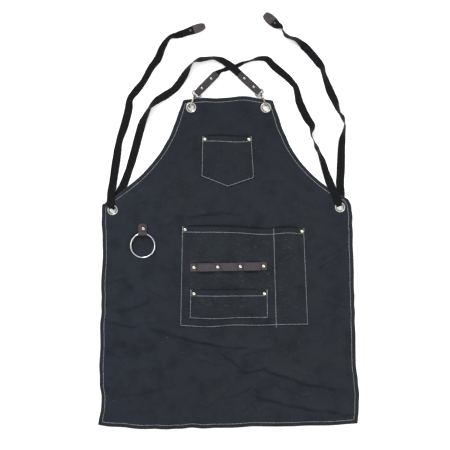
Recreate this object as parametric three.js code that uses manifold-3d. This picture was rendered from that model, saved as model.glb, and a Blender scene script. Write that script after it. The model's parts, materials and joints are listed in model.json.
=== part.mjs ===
// A canvas work apron, laid out flat and face up: a hemmed panel with riveted patch pockets, a leather
// tool strip, a steel ring on a leather tab, and two webbing straps that hook on at the bib, cross, pass
// through the waist grommets and end in leather tips.
// Millimetres. +Z is up from the surface it lies on, +Y points to the neck, and the origin is on that
// surface under the middle of the whole.
import * as THREE from "three";
import { mergeVertices } from "three/addons/utils/BufferGeometryUtils.js";
import Module from "manifold-3d";

const wasm = await Module();
wasm.setup();

// Clearances between neighbouring pieces
const GAP = 0.3; // between flat faces that rest on each other
const SOFT_GAP = 0.6; // between a piece and the curved cloth under it

// Canvas panel
const CANVAS = 1.2; // thickness of one layer
const HEM = 13; // width of the turned hem
const HEM_THICK = 2.7; // thickness of the hem's folded layers
const HEM_STEP = 3; // width of the slope from the hem to the single layer
const BIB = { half: 121, y: 318, crown: 12 }; // top corners, and how far the top edge rises between them
const ARMHOLE = { x: 152.5, y: 160 }; // the armhole's control point
const UNDERARM = { x: 325.5, y: 52.5 }; // where the armhole ends
const WAIST = { x: 335, y: 37 }; // where the side seam begins
const SKIRT = { half: 350, y: -545 }; // bottom corners

// Hardware
const GROMMET = { hole: 8.5, tube: 9.3, flange: 14, plate: 1, crown: 1.3 };
const RIVET = { post: 1.4, hole: 2, cap: 4.6, dome: 2.1, backCap: 4, back: 0.9 };
const RING = { radius: 32.2, wire: 2 };
const HOOK = { wire: 1.5, reach: 32, front: 6.6, rear: 2.6, nose: 4.6, collar: 3, stem: 1.1, head: 3.1 };
const EYE = { half: 11.8, depth: 12.5, wire: 1.4, boss: 3.7, bore: 2.4, thick: 2.4 };
const SWIVEL_PLAY = 1.4; // how loosely the hook sits in the eye's boss

// Leather and webbing
const LEATHER = 1.6;
const STRAP = { width: 22, sewn: 19.5, thick: 1.6, stepsPerRow: 2, steep: 0.8 };
const HOOK_TAB = { width: 20, neck: 17.4, fold: 1.8, slack: 1.3, pinch: 12, half: STRAP.thick / 2 + GAP };
const RING_TAB = { width: 23.5, length: 28, fold: 4.1, pinch: 8.6 };
const TIP = { length: 58, overlap: 17, punch: 1.9 };
const TAB_Z = 4.5; // height of the middle of the hook tabs

// Heights of the resting cloth, and of what lies on it
const PANEL_TOP = HEM_THICK;
const PANEL_UNDER = HEM_THICK - CANVAS;
const SEAT = PANEL_TOP + GAP;

// What holds the panel off the surface, as capsules: hook wires and webbing pass under at these corners
const LIFTS = [
  { x0: -97.5, y0: 302.8, x1: -92, y1: 322, flat: 30, foot: 36, rise: 5 },
  { x0: 102.8, y0: 302.6, x1: 97, y1: 322, flat: 30, foot: 36, rise: 5 },
  { x0: -308.3, y0: 28, x1: -285, y1: 87, flat: 31, foot: 30, rise: 3.6 },
  { x0: 302.1, y0: 35.5, x1: 307, y1: 66, flat: 31, foot: 30, rise: 3.6 },
];

// Soft creases in the cloth, each a ridge between two points
const FOLDS = [
  { x0: -300, y0: -278, x1: -245, y1: -278, flat: 0, foot: 18, rise: 4 },
  { x0: -200, y0: -312, x1: -150, y1: -327, flat: 0, foot: 18, rise: 5 },
  { x0: -150, y0: -327, x1: 40, y1: -338, flat: 0, foot: 24, rise: 6 },
  { x0: -4, y0: -352, x1: 36, y1: -398, flat: 0, foot: 22, rise: 5 },
  { x0: 36, y0: -399, x1: 109, y1: -391, flat: 0, foot: 22, rise: 5 },
  { x0: 109, y0: -391, x1: 303, y1: -454, flat: 0, foot: 25, rise: 6 },
  { x0: 92, y0: -471, x1: 316, y1: -516, flat: 0, foot: 24, rise: 5.5 },
  { x0: 30, y0: -525, x1: 92, y1: -445, flat: 0, foot: 18, rise: 3.5 },
  { x0: -110, y0: 20, x1: 50, y1: 32, flat: 0, foot: 20, rise: 4 },
  { x0: -300, y0: -470, x1: -150, y1: -440, flat: 0, foot: 30, rise: 2.5 },
  { x0: 235, y0: -110, x1: 322, y1: -60, flat: 0, foot: 22, rise: 3.5 },
];

// Gentle waves of the laid edges, each a bump across the edge
const EDGE_WAVES = {
  bottom: [
    { at: -250, half: 105, push: -11 },
    { at: -110, half: 210, push: -16 },
    { at: 130, half: 230, push: -9.5 },
  ],
  top: [{ at: -32, half: 34, push: -4 }, { at: 42, half: 50, push: 3 }],
  left: [
    { at: 270, half: 110, push: -3 },
    { at: 110, half: 70, push: 3 },
    { at: 10, half: 60, push: -2 },
    { at: -290, half: 190, push: 4 },
    { at: -480, half: 50, push: 5 },
  ],
  right: [
    { at: 270, half: 120, push: 5 },
    { at: 110, half: 70, push: -4 },
    { at: -470, half: 90, push: 6 },
  ],
};

// Pockets: corners of the patch, how far the slack front stands off, and where it is stitched down
const SEAM = 4; // flat margin along a seam
const MOUTH_SEAM = 15.5; // flat margin at the riveted corners of the mouth
const CHEST_POCKET = {
  left: { top: -70, bottom: -72.5 }, right: { top: 67.5, bottom: 75 },
  top: { left: 226, right: 225.5 }, bottom: { left: 118, right: 114 }, point: 27,
  hem: 11, rise: 7, seams: [0, 1], cells: [6], rows: 4,
};
const MAIN_POCKET = {
  left: { top: -124, bottom: -129 }, right: { top: 210.5, bottom: 221.5 },
  top: { left: -16, right: -21.5 }, bottom: { left: -285, right: -281 }, point: 0,
  hem: 12.5, rise: 8, seams: [0, 0.742, 1], cells: [8, 4], rows: 6,
};
const SMALL_POCKET = {
  left: { top: -100.5, bottom: -102.5 }, right: { top: 108.5, bottom: 110.5 },
  top: { left: -186, right: -186 }, bottom: { left: -264, right: -262.5 }, point: 0,
  hem: 14, rise: 6, seams: [0, 1], cells: [8], rows: 3,
};
const TOOL_STRIP = {
  left: -100.5, right: 106.5, width: 22, y: { left: -126.6, right: -122.4 }, loop: 6,
  rivets: [-90, -26.2, 34.4, 97], cells: 6,
};

// Places of the grommets, the ring and its tab, and the rivets of the pockets' mouths
const GROMMETS = [
  { name: "grommet_bib_left", x: -97.5, y: 302.8, lift: 5 },
  { name: "grommet_bib_right", x: 102.8, y: 302.6, lift: 5 },
  { name: "grommet_waist_left", x: -308.3, y: 28, lift: 3.6 },
  { name: "grommet_waist_right", x: 302.1, y: 35.5, lift: 3.6 },
];
const RING_PIVOT = { x: -227.6, y: -36.5 };
const RING_TAB_RIVET = { x: -226, y: -22.5 };
const MOUTH_RIVETS = {
  chest: [{ x: -60.5, y: 218 }, { x: 58, y: 217.6 }],
  main: [{ x: -114, y: -24.6 }, { x: 200, y: -29.2 }],
  small: [{ x: -90, y: -196.6 }, { x: 99, y: -196.6 }],
};

// The two hook ends: the swivel's place, and headings in degrees of the tab, the eye and the hook
const HOOK_ENDS = [
  { side: "left", x: -88.5, y: 332.7, tab: 45.3, eye: 50.5, hook: 246, length: 75, rivets: [17, 53] },
  { side: "right", x: 91.3, y: 336.6, tab: 137.4, eye: 130.5, hook: 294.5, length: 70, rivets: [17, 51] },
];

// The two leather tips: the place of the rivet, the heading of the tip, and its width, the share of that at
// the back end and where its sides reach their full width
const STRAP_TIPS = [
  { side: "left", x: -99.1, y: 509.6, heading: 19.5, width: 24, back: 0.75, full: 0.25 },
  { side: "right", x: 128, y: 529.3, heading: 138, width: 27.5, back: 0.75, full: -0.1 },
];

// Webbing routes from the hook tab to the free end. base is the height of what the webbing lies on,
// turn its roll in degrees, and width its gathered width.
const TAB_BASE = TAB_Z - STRAP.thick / 2;
const TIP_BASE = RIVET.back + GAP + GAP + LEATHER + GAP;
const W = STRAP.width;
const SEWN = STRAP.sewn;
const ROUTES = {
  left: [
    { x: 72.8, y: 356.2, base: TAB_BASE, turn: 0, width: SEWN },
    { x: 28, y: 397.4, base: TAB_BASE, turn: 0, width: SEWN },
    { x: 7, y: 415.6, base: 2.9, turn: 0, width: 21 },
    { x: -14.5, y: 429.6, base: 2.2, turn: 15, width: 18 },
    { x: -35.2, y: 435.6, base: 0, turn: 48, width: 17 },
    { x: -60, y: 433.4, base: 0, turn: 45, width: 18 },
    { x: -72, y: 431.6, base: 0, turn: 38, width: 20 },
    { x: -87.9, y: 426.8, base: 0, turn: 70, width: 20 },
    { x: -93, y: 423, base: 0, turn: 78, width: 20 },
    { x: -99.3, y: 415.5, base: 0, turn: 66, width: 21 },
    { x: -111.3, y: 396.2, base: 0, turn: 33, width: W },
    { x: -118.5, y: 384.6, base: 0, turn: 15, width: 21 },
    { x: -134.3, y: 362.1, base: 0, turn: 0, width: 20.5 },
    { x: -143.8, y: 352, base: 0, turn: 0, width: 19.5 },
    { x: -166, y: 336.6, base: 0, turn: 0, width: 21.5 },
    { x: -187.9, y: 323, base: 0, turn: 20, width: 21 },
    { x: -204.4, y: 307.3, base: 0, turn: 52, width: 21 },
    { x: -208.1, y: 302.1, base: 0, turn: 60, width: 21 },
    { x: -218.8, y: 281.9, base: 0, turn: 40, width: 21 },
    { x: -228.8, y: 261.1, base: 0, turn: 15, width: 21.5 },
    { x: -233.2, y: 247.3, base: 0, turn: 0, width: 21.5 },
    { x: -253.6, y: 171, base: 0, turn: 0, width: W },
    { x: -264.4, y: 136.2, base: 0, turn: 0, width: 20 },
    { x: -279, y: 97, base: 0.1, turn: 0, width: 21.5 },
    { x: -299, y: 60, base: 0.1, turn: 0, width: 18 },
    { x: -306, y: 42, base: 0.1, turn: 0, width: 12 },
    { x: -307.6, y: 33, base: 0.4, turn: 0, width: 11 },
    { x: -308, y: 30.8, base: 4.4, turn: 0, width: 11 },
    { x: -308.6, y: 33, base: 8.4, turn: 0, width: 11 },
    { x: -309.6, y: 43, base: 8.5, turn: 0, width: 16 },
    { x: -311, y: 58, base: 7.2, turn: 0, width: 21 },
    { x: -311, y: 76, base: 6.6, turn: 0, width: W },
    { x: -307.2, y: 104, base: 0.4, turn: 0, width: W },
    { x: -297.4, y: 170.4, base: 0, turn: 0, width: W },
    { x: -290.6, y: 213.3, base: 0, turn: 0, width: 18.5 },
    { x: -276.4, y: 256.3, base: 0, turn: 8, width: 21.5 },
    { x: -265.4, y: 299.7, base: 0, turn: 12, width: 21.5 },
    { x: -261.9, y: 326.3, base: 0, turn: 0, width: 17.5 },
    { x: -245.7, y: 348.1, base: 0, turn: 0, width: 19.5 },
    { x: -226.9, y: 371.2, base: 0, turn: 20, width: 17.5 },
    { x: -204.7, y: 411.1, base: 0, turn: 0, width: 18.5 },
    { x: -186.7, y: 434.8, base: 0, turn: 10, width: 20.5 },
    { x: -174.1, y: 463.6, base: 0, turn: 42, width: 21 },
    { x: -157.1, y: 488.6, base: 0, turn: 68, width: 21 },
    { x: -149.6, y: 493.3, base: 0, turn: 66, width: 21 },
    { x: -133.9, y: 496.4, base: 2, turn: 38, width: SEWN },
    { x: -118.3, y: 502.4, base: TIP_BASE, turn: 0, width: SEWN },
    { x: -91, y: 512.2, base: TIP_BASE, turn: 0, width: SEWN },
  ],
  right: [
    { x: -70, y: 353.4, base: TAB_BASE, turn: 0, width: SEWN },
    { x: -32, y: 391, base: TAB_BASE, turn: 0, width: SEWN },
    { x: -25, y: 397, base: TAB_BASE, turn: 0, width: 15 },
    { x: -18, y: 401.8, base: 2, turn: 0, width: 10 },
    { x: -5, y: 406, base: 0.2, turn: 0, width: 11 },
    { x: 26, y: 416, base: 0, turn: 0, width: 10.5 },
    { x: 44.4, y: 423.4, base: 0, turn: 66, width: 13 },
    { x: 58.2, y: 427, base: 0, turn: 84, width: 18 },
    { x: 66, y: 429.4, base: 0, turn: 84, width: 20 },
    { x: 83.2, y: 433.5, base: 0, turn: 69, width: 21.5 },
    { x: 100.6, y: 433.5, base: 0, turn: 58, width: W },
    { x: 109.1, y: 430.1, base: 0, turn: 46, width: W },
    { x: 123.1, y: 415.3, base: 0, turn: 38, width: W },
    { x: 140.7, y: 400.6, base: 0, turn: 30, width: 21 },
    { x: 160.7, y: 384.2, base: 0, turn: 30, width: 19.5 },
    { x: 175.8, y: 367.6, base: 0, turn: 44, width: 19.5 },
    { x: 182.1, y: 360, base: 0, turn: 48, width: 19.5 },
    { x: 187.9, y: 340, base: 0, turn: 40, width: 21 },
    { x: 193.1, y: 318.2, base: 0, turn: 26, width: 21.5 },
    { x: 204.8, y: 293, base: 0, turn: 0, width: 21.5 },
    { x: 215.6, y: 271.8, base: 0, turn: 18, width: 21 },
    { x: 226.7, y: 255.2, base: 0, turn: 32, width: 20.5 },
    { x: 227.2, y: 246.8, base: 0, turn: 54, width: 20.5 },
    { x: 224.9, y: 230.2, base: 0, turn: 85, width: 20.5 },
    { x: 231.8, y: 214.1, base: 0, turn: 98, width: 20.5 },
    { x: 239.7, y: 194.7, base: 0, turn: 128, width: 20.5 },
    { x: 245.2, y: 183.5, base: 0, turn: 120, width: 20 },
    { x: 255.2, y: 160, base: 0, turn: 142, width: 21.5 },
    { x: 262.8, y: 135.1, base: 0.4, turn: 160, width: 20 },
    { x: 274, y: 103, base: 6, turn: 180, width: 21.5 },
    { x: 289.4, y: 68.3, base: 7, turn: 180, width: 21 },
    { x: 299.6, y: 51, base: 8.5, turn: 180, width: 15 },
    { x: 301.7, y: 40.9, base: 8.4, turn: 180, width: 11 },
    { x: 302, y: 38.3, base: 4.4, turn: 180, width: 11 },
    { x: 302.3, y: 40.9, base: 0.4, turn: 180, width: 11 },
    { x: 303.2, y: 50, base: 0.1, turn: 180, width: 12 },
    { x: 306.5, y: 66, base: 0.1, turn: 180, width: 18 },
    { x: 303, y: 98, base: 0, turn: 180, width: W },
    { x: 304.7, y: 133, base: 0, turn: 180, width: W },
    { x: 307.7, y: 212.1, base: 0, turn: 206, width: 21.5 },
    { x: 312.7, y: 240, base: 0, turn: 244, width: 21 },
    { x: 315, y: 256.8, base: 0, turn: 255, width: 21 },
    { x: 312.4, y: 266.8, base: 0, turn: 279, width: 21 },
    { x: 308.4, y: 277.7, base: 0, turn: 290, width: 21 },
    { x: 301, y: 287.6, base: 0, turn: 280, width: 20 },
    { x: 294.5, y: 301.2, base: 0, turn: 298, width: 20.5 },
    { x: 288.3, y: 320.7, base: 0, turn: 322, width: 21.5 },
    { x: 277.8, y: 342.4, base: 0, turn: 338, width: 21.5 },
    { x: 265.9, y: 371.6, base: 0, turn: 312, width: 21.5 },
    { x: 257.5, y: 395.5, base: 0, turn: 296, width: 21.5 },
    { x: 253.8, y: 410.7, base: 0, turn: 309, width: 21.5 },
    { x: 246.4, y: 421.2, base: 0, turn: 334, width: 21.5 },
    { x: 228.7, y: 443.6, base: 0, turn: 340, width: 21.5 },
    { x: 208.6, y: 465.8, base: 0, turn: 350, width: 21.5 },
    { x: 198.5, y: 474.9, base: 0, turn: 388, width: 21.5 },
    { x: 184.7, y: 485.4, base: 0, turn: 409, width: 21.5 },
    { x: 170, y: 490, base: 0, turn: 426, width: 21.5 },
    { x: 157.5, y: 495.9, base: 0, turn: 421, width: 20 },
    { x: 150.4, y: 505.7, base: 0.5, turn: 432, width: 18 },
    { x: 146.5, y: 513.6, base: 1.8, turn: 448, width: 16 },
    { x: 143.2, y: 519.2, base: TIP_BASE, turn: 480, width: 12 },
    { x: 138.7, y: 522.4, base: TIP_BASE, turn: 525, width: 12 },
    { x: 135.4, y: 523, base: TIP_BASE, turn: 540, width: 15.5 },
    { x: 130.7, y: 526.5, base: TIP_BASE, turn: 540, width: SEWN },
    { x: 122.8, y: 534, base: TIP_BASE, turn: 540, width: SEWN },
  ],
};

const MATERIALS = {
  canvas: new THREE.MeshStandardMaterial({ color: 0x2f3238, roughness: 0.85, metalness: 0 }),
  webbing: new THREE.MeshStandardMaterial({ color: 0x1f2123, roughness: 0.95, metalness: 0 }),
  leather: new THREE.MeshStandardMaterial({ color: 0x544d50, roughness: 0.6, metalness: 0 }),
  nickel: new THREE.MeshStandardMaterial({ color: 0xc9c8c0, roughness: 0.3, metalness: 1 }),
  brass: new THREE.MeshStandardMaterial({ color: 0xd8d3ae, roughness: 0.35, metalness: 1 }),
};

const apron = new THREE.Group();
apron.name = "work_apron";

function addMesh(parent, name, geometry, material) {
  const mesh = new THREE.Mesh(geometry, material);
  mesh.name = name;
  parent.add(mesh);
  return mesh;
}

// Solids for joining and cutting
function solidOf(geometry) {
  const bare = geometry.clone();
  for (const attribute of ["normal", "uv"]) bare.deleteAttribute(attribute);
  const merged = mergeVertices(bare, 1e-3);
  return new wasm.Manifold(new wasm.Mesh({
    numProp: 3,
    vertProperties: merged.attributes.position.array,
    triVerts: new Uint32Array(merged.index.array),
  }));
}

function geometryOf(solid) {
  const { vertProperties, triVerts } = solid.getMesh();
  const geometry = new THREE.BufferGeometry();
  geometry.setAttribute("position", new THREE.BufferAttribute(vertProperties, 3));
  geometry.setIndex(new THREE.BufferAttribute(triVerts, 1));
  geometry.computeVertexNormals();
  return geometry;
}

function cut(geometry, tools) {
  return geometryOf(tools.reduce((solid, tool) => solid.subtract(solidOf(tool)), solidOf(geometry)));
}

function join(geometries) {
  return geometryOf(geometries.map(solidOf).reduce((whole, solid) => whole.add(solid)));
}

// An upright round drill through everything at a point
function drill(x, y, radius, sides = 6) {
  const tall = 80;
  return new THREE.CylinderGeometry(radius, radius, tall, sides).rotateX(Math.PI / 2).translate(x, y, 0);
}

// A turned piece about the Z axis, from radius and height pairs that run upwards on the outside
function turned(profile, sides) {
  const points = profile.map(([radius, height]) => new THREE.Vector2(radius, height));
  return new THREE.LatheGeometry(points, sides).rotateX(Math.PI / 2);
}

// A closed wall on a grid: top gives a point of the upper face, wall the thickness below it
function gridWall(columns, rows, top, wall) {
  const positions = [];
  const index = [];
  const quad = (a, b, c, d) => index.push(a, b, c, a, c, d);
  const upper = (i, j) => 2 * (j * columns + i);
  const lower = (i, j) => upper(i, j) + 1;
  for (let j = 0; j < rows; j++) {
    for (let i = 0; i < columns; i++) {
      const p = top(i, j);
      positions.push(p.x, p.y, p.z, p.x, p.y, p.z - wall(i, j));
    }
  }
  for (let j = 0; j + 1 < rows; j++) {
    for (let i = 0; i + 1 < columns; i++) {
      quad(upper(i, j), upper(i + 1, j), upper(i + 1, j + 1), upper(i, j + 1));
      quad(lower(i, j), lower(i, j + 1), lower(i + 1, j + 1), lower(i + 1, j));
    }
  }
  const [lastColumn, lastRow] = [columns - 1, rows - 1];
  for (let i = 0; i < lastColumn; i++) {
    quad(lower(i, 0), lower(i + 1, 0), upper(i + 1, 0), upper(i, 0));
    quad(lower(i + 1, lastRow), lower(i, lastRow), upper(i, lastRow), upper(i + 1, lastRow));
  }
  for (let j = 0; j < lastRow; j++) {
    quad(lower(0, j + 1), lower(0, j), upper(0, j), upper(0, j + 1));
    quad(lower(lastColumn, j), lower(lastColumn, j + 1), upper(lastColumn, j + 1), upper(lastColumn, j));
  }
  const geometry = new THREE.BufferGeometry();
  geometry.setAttribute("position", new THREE.Float32BufferAttribute(positions, 3));
  geometry.setIndex(index);
  return geometry;
}

// A convex section carried along stations, each with a centre and the section's two directions
function sweep(stations, closed = false) {
  const sides = stations[0].section.length;
  const positions = [];
  const index = [];
  for (const { centre, across, up, section } of stations) {
    for (const [a, b] of section) {
      const p = centre.clone().addScaledVector(across, a).addScaledVector(up, b);
      positions.push(p.x, p.y, p.z);
    }
  }
  const spans = closed ? stations.length : stations.length - 1;
  for (let s = 0; s < spans; s++) {
    const [here, next] = [s * sides, ((s + 1) % stations.length) * sides];
    for (let k = 0; k < sides; k++) {
      const after = (k + 1) % sides;
      // Opposite sides are split along the same diagonal, so a twisted strip keeps its thickness
      if (k < sides / 2) index.push(here + k, here + after, next + after, here + k, next + after, next + k);
      else index.push(here + k, here + after, next + k, here + after, next + after, next + k);
    }
  }
  if (!closed) {
    const last = (stations.length - 1) * sides;
    for (let k = 1; k + 1 < sides; k++) {
      index.push(0, k + 1, k, last, last + k, last + k + 1);
    }
  }
  const geometry = new THREE.BufferGeometry();
  geometry.setAttribute("position", new THREE.Float32BufferAttribute(positions, 3));
  geometry.setIndex(index);
  return geometry;
}

// A round wire through points that lie in the plane with the given normal
function wire(points, normal, radius, sides, closed = false) {
  const section = Array.from({ length: sides }, (_, k) => {
    const angle = (2 * Math.PI * k) / sides;
    return [radius * Math.cos(angle), radius * Math.sin(angle)];
  });
  const count = points.length;
  const stations = points.map((centre, i) => {
    const before = points[closed ? (i + count - 1) % count : Math.max(i - 1, 0)];
    const after = points[closed ? (i + 1) % count : Math.min(i + 1, count - 1)];
    const along = after.clone().sub(before).normalize();
    const across = normal.clone();
    return { centre, across, up: along.clone().cross(across), section };
  });
  return sweep(stations, closed);
}

// The panel's outline and surface
function bump(distance, half) {
  return distance >= half ? 0 : (1 + Math.cos((Math.PI * distance) / half)) / 2;
}

function ridge({ x0, y0, x1, y1, flat, foot, rise }, x, y) {
  const [dx, dy] = [x1 - x0, y1 - y0];
  const share = THREE.MathUtils.clamp(((x - x0) * dx + (y - y0) * dy) / (dx * dx + dy * dy), 0, 1);
  const distance = Math.hypot(x - x0 - share * dx, y - y0 - share * dy);
  return rise * bump(Math.max(distance - flat, 0), foot);
}

// How far the cloth stands off its resting height
function clothRise(x, y) {
  return Math.max(...LIFTS.concat(FOLDS).map((row) => ridge(row, x, y)));
}

function edgeWave(waves, at) {
  return waves.reduce((sum, wave) => sum + wave.push * bump(Math.abs(at - wave.at), wave.half), 0);
}

// Rows of the panel from the bottom hem to the top edge: height and half width at that height
function panelRows() {
  const rows = [];
  const side = (y) => THREE.MathUtils.mapLinear(y, SKIRT.y, WAIST.y, SKIRT.half, WAIST.x);
  const slope = (WAIST.x - SKIRT.half) / (WAIST.y - SKIRT.y);
  const addSide = (y) => rows.push({ y, half: side(y), slope });
  addSide(SKIRT.y);
  addSide(SKIRT.y + HEM);
  addSide(SKIRT.y + HEM + HEM_STEP);
  const creased = { from: SKIRT.y + 30, to: -262, count: 13 };
  for (let k = 0; k <= creased.count; k++) {
    addSide(THREE.MathUtils.lerp(creased.from, creased.to, k / creased.count));
  }
  for (const y of [-200, -110, -60, -14, 2, 14, 26]) addSide(y);
  addSide(WAIST.y);
  const armhole = new THREE.QuadraticBezierCurve(
    new THREE.Vector2(UNDERARM.x, UNDERARM.y),
    new THREE.Vector2(ARMHOLE.x, ARMHOLE.y),
    new THREE.Vector2(BIB.half, BIB.y),
  );
  const armholeRows = [0, 0.05, 0.11, 0.18, 0.27, 0.39, 0.52, 0.66, 0.78, 0.86, 0.91];
  const hemRows = [1 - (HEM + HEM_STEP) / 320, 1 - HEM / 320];
  for (const t of [...armholeRows, ...hemRows, 1]) {
    const point = armhole.getPoint(t);
    const tangent = armhole.getTangent(t);
    rows.push({ y: point.y, half: point.x, slope: tangent.x / tangent.y });
  }
  return rows;
}

// Columns of the panel as distances from the nearer edge, then as shares of what is left
const EDGE_COLUMNS = [0, HEM, HEM + HEM_STEP, 31, 48, 70];
const INNER_SHARES = [0.12, 0.31, 0.5, 0.69, 0.88];

function panelX(row, column) {
  const stretch = Math.min(Math.sqrt(1 + row.slope * row.slope), 1.9);
  const fit = Math.min(1, (row.half * 0.8) / (EDGE_COLUMNS.at(-1) * stretch));
  const inset = EDGE_COLUMNS.map((d) => -row.half + d * stretch * (d > HEM + HEM_STEP ? fit : 1));
  const reach = inset.at(-1);
  const inner = INNER_SHARES.map((share) => THREE.MathUtils.lerp(reach, -reach, share));
  return [...inset, ...inner, ...inset.map((x) => -x).reverse()][column];
}

function panelPoint(rows, column, columns, j) {
  const row = rows[j];
  const lastRow = rows.length - 1;
  let x = panelX(row, column);
  let y = row.y;
  const side = Math.abs(x) / row.half;
  const waves = x < 0 ? EDGE_WAVES.left : EDGE_WAVES.right;
  x += edgeWave(waves, y) * side ** 4;
  const low = bump(y - SKIRT.y, 220);
  const high = bump(BIB.y - y, 90);
  y += edgeWave(EDGE_WAVES.bottom, x) * low;
  y += (edgeWave(EDGE_WAVES.top, x) + BIB.crown * (1 - (x / row.half) ** 4)) * high;
  const z = PANEL_TOP + clothRise(x, y);
  const hemmed = column < 2 || column > columns - 3 || j < 2 || j > lastRow - 2;
  return { x, y, z, wall: hemmed ? HEM_THICK : CANVAS };
}

function panelGeometry() {
  const rows = panelRows();
  const columns = 2 * EDGE_COLUMNS.length + INNER_SHARES.length;
  return gridWall(
    columns,
    rows.length,
    (i, j) => panelPoint(rows, i, columns, j),
    (i, j) => panelPoint(rows, i, columns, j).wall,
  );
}

// A patch pocket: u runs across and v up to the mouth. The front stands off between its seams.
function pocketPlace(pocket, u, v) {
  const { lerp } = THREE.MathUtils;
  const left = lerp(pocket.left.bottom, pocket.left.top, v);
  const right = lerp(pocket.right.bottom, pocket.right.top, v);
  const point = pocket.point * (1 - Math.abs(2 * u - 1));
  const bottom = lerp(pocket.bottom.left, pocket.bottom.right, u) - point;
  return { x: lerp(left, right, u), y: lerp(bottom, lerp(pocket.top.left, pocket.top.right, u), v) };
}

// Nothing at the seams and at the riveted corners of the mouth, and fullest between them
function pocketRise(pocket, u, v) {
  const { clamp, lerp, smoothstep } = THREE.MathUtils;
  const k = pocket.seams.findIndex((seam, n) => n > 0 && u <= seam + 1e-9);
  const [from, to] = [pocket.seams[k - 1], pocket.seams[k]];
  const inLeftHalf = u < (from + to) / 2;
  const outer = inLeftHalf ? from === 0 : to === 1;
  const margin = lerp(SEAM, outer ? MOUTH_SEAM : SEAM, smoothstep(v, 0.55, 0.75)) / pocketWidth(pocket);
  const half = (to - from) / 2;
  const inside = clamp((Math.min(u - from, to - u) - margin) / (half - margin), 0, 1);
  const fullness = pocket.rise * Math.min(1, 3.2 * (to - from));
  return fullness * (1 - (1 - inside) ** 4) * (1 - (1 - v) ** 4);
}

function pocketWidth(pocket) {
  return pocket.right.top - pocket.left.top;
}

// The height of a pocket's front face above a point, for what is sewn or riveted on it
function pocketTop(pocket, base, x, y) {
  const { clamp, inverseLerp, lerp } = THREE.MathUtils;
  let [u, v] = [0.5, 0.5];
  for (let pass = 0; pass < 8; pass++) {
    const left = lerp(pocket.left.bottom, pocket.left.top, v);
    const right = lerp(pocket.right.bottom, pocket.right.top, v);
    u = clamp(inverseLerp(left, right, x), 0, 1);
    v = clamp(inverseLerp(pocketPlace(pocket, u, 0).y, pocketPlace(pocket, u, 1).y, y), 0, 1);
  }
  return base + CANVAS + pocketRise(pocket, u, v);
}

// Columns of a pocket: at each seam, at its flat margin, and evenly between
function pocketColumns({ seams, cells, ...pocket }) {
  const margin = (at) => (at === 0 || at === 1 ? MOUTH_SEAM : SEAM) / pocketWidth(pocket);
  const columns = [0];
  cells.forEach((count, k) => {
    const [from, to] = [seams[k] + margin(seams[k]), seams[k + 1] - margin(seams[k + 1])];
    for (let c = 0; c <= count; c++) columns.push(THREE.MathUtils.lerp(from, to, c / count));
    columns.push(seams[k + 1]);
  });
  return columns;
}

function pocketGeometry(pocket, baseAt) {
  const height = pocket.top.left - pocket.bottom.left;
  const mouth = [1 - (pocket.hem + 2) / height, 1 - pocket.hem / height];
  const below = Array.from({ length: pocket.rows }, (_, k) => (mouth[0] * k) / pocket.rows);
  const vs = [...below, ...mouth, 1];
  const us = pocketColumns(pocket);
  const top = (i, j) => {
    const { x, y } = pocketPlace(pocket, us[i], vs[j]);
    return { x, y, z: baseAt(x, y) + CANVAS + pocketRise(pocket, us[i], vs[j]) };
  };
  const inMouthHem = (j) => j >= vs.length - 2;
  const wall = (i, j) => (inMouthHem(j) && pocketRise(pocket, us[i], vs[j]) > 2 ? 2 * CANVAS : CANVAS);
  return gridWall(us.length, vs.length, top, wall);
}

// The highest or lowest a surface comes under a rivet's cap
function underCap(surface, x, y, pick) {
  const samples = [surface(x, y)];
  for (let k = 0; k < 8; k++) {
    const angle = (Math.PI * k) / 4;
    samples.push(surface(x + RIVET.cap * Math.cos(angle), y + RIVET.cap * Math.sin(angle)));
  }
  return pick(...samples);
}

// A capped rivet: domed front, post and flat back, between two faces
function rivetGeometry(x, y, under, over) {
  const { post, cap, dome, backCap, back } = RIVET;
  return turned([
    [0, under - back], [backCap, under - back], [backCap, under], [post, under], [post, over],
    [cap, over], [cap * 0.8, over + dome * 0.7], [0, over + dome],
  ], 8).translate(x, y, 0);
}

function grommetGeometry({ x, y, lift }) {
  const { hole, tube, flange, plate, crown } = GROMMET;
  const under = lift - GAP;
  const over = lift + HEM_THICK + GAP;
  return turned([
    [hole, under - plate], [flange, under - plate], [flange, under], [tube, under], [tube, over],
    [flange, over], [flange - 2, over + crown], [hole, over + 0.6 * crown], [hole, under - plate],
  ], 12).translate(x, y, 0);
}

// Where a straight flap that ends at (x, y) leaves a round fold, as an angle on the fold's circle
function foldTangent(x, y, radius, side) {
  return Math.atan2(y, x) + side * Math.acos(radius / Math.hypot(x, y));
}

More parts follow.
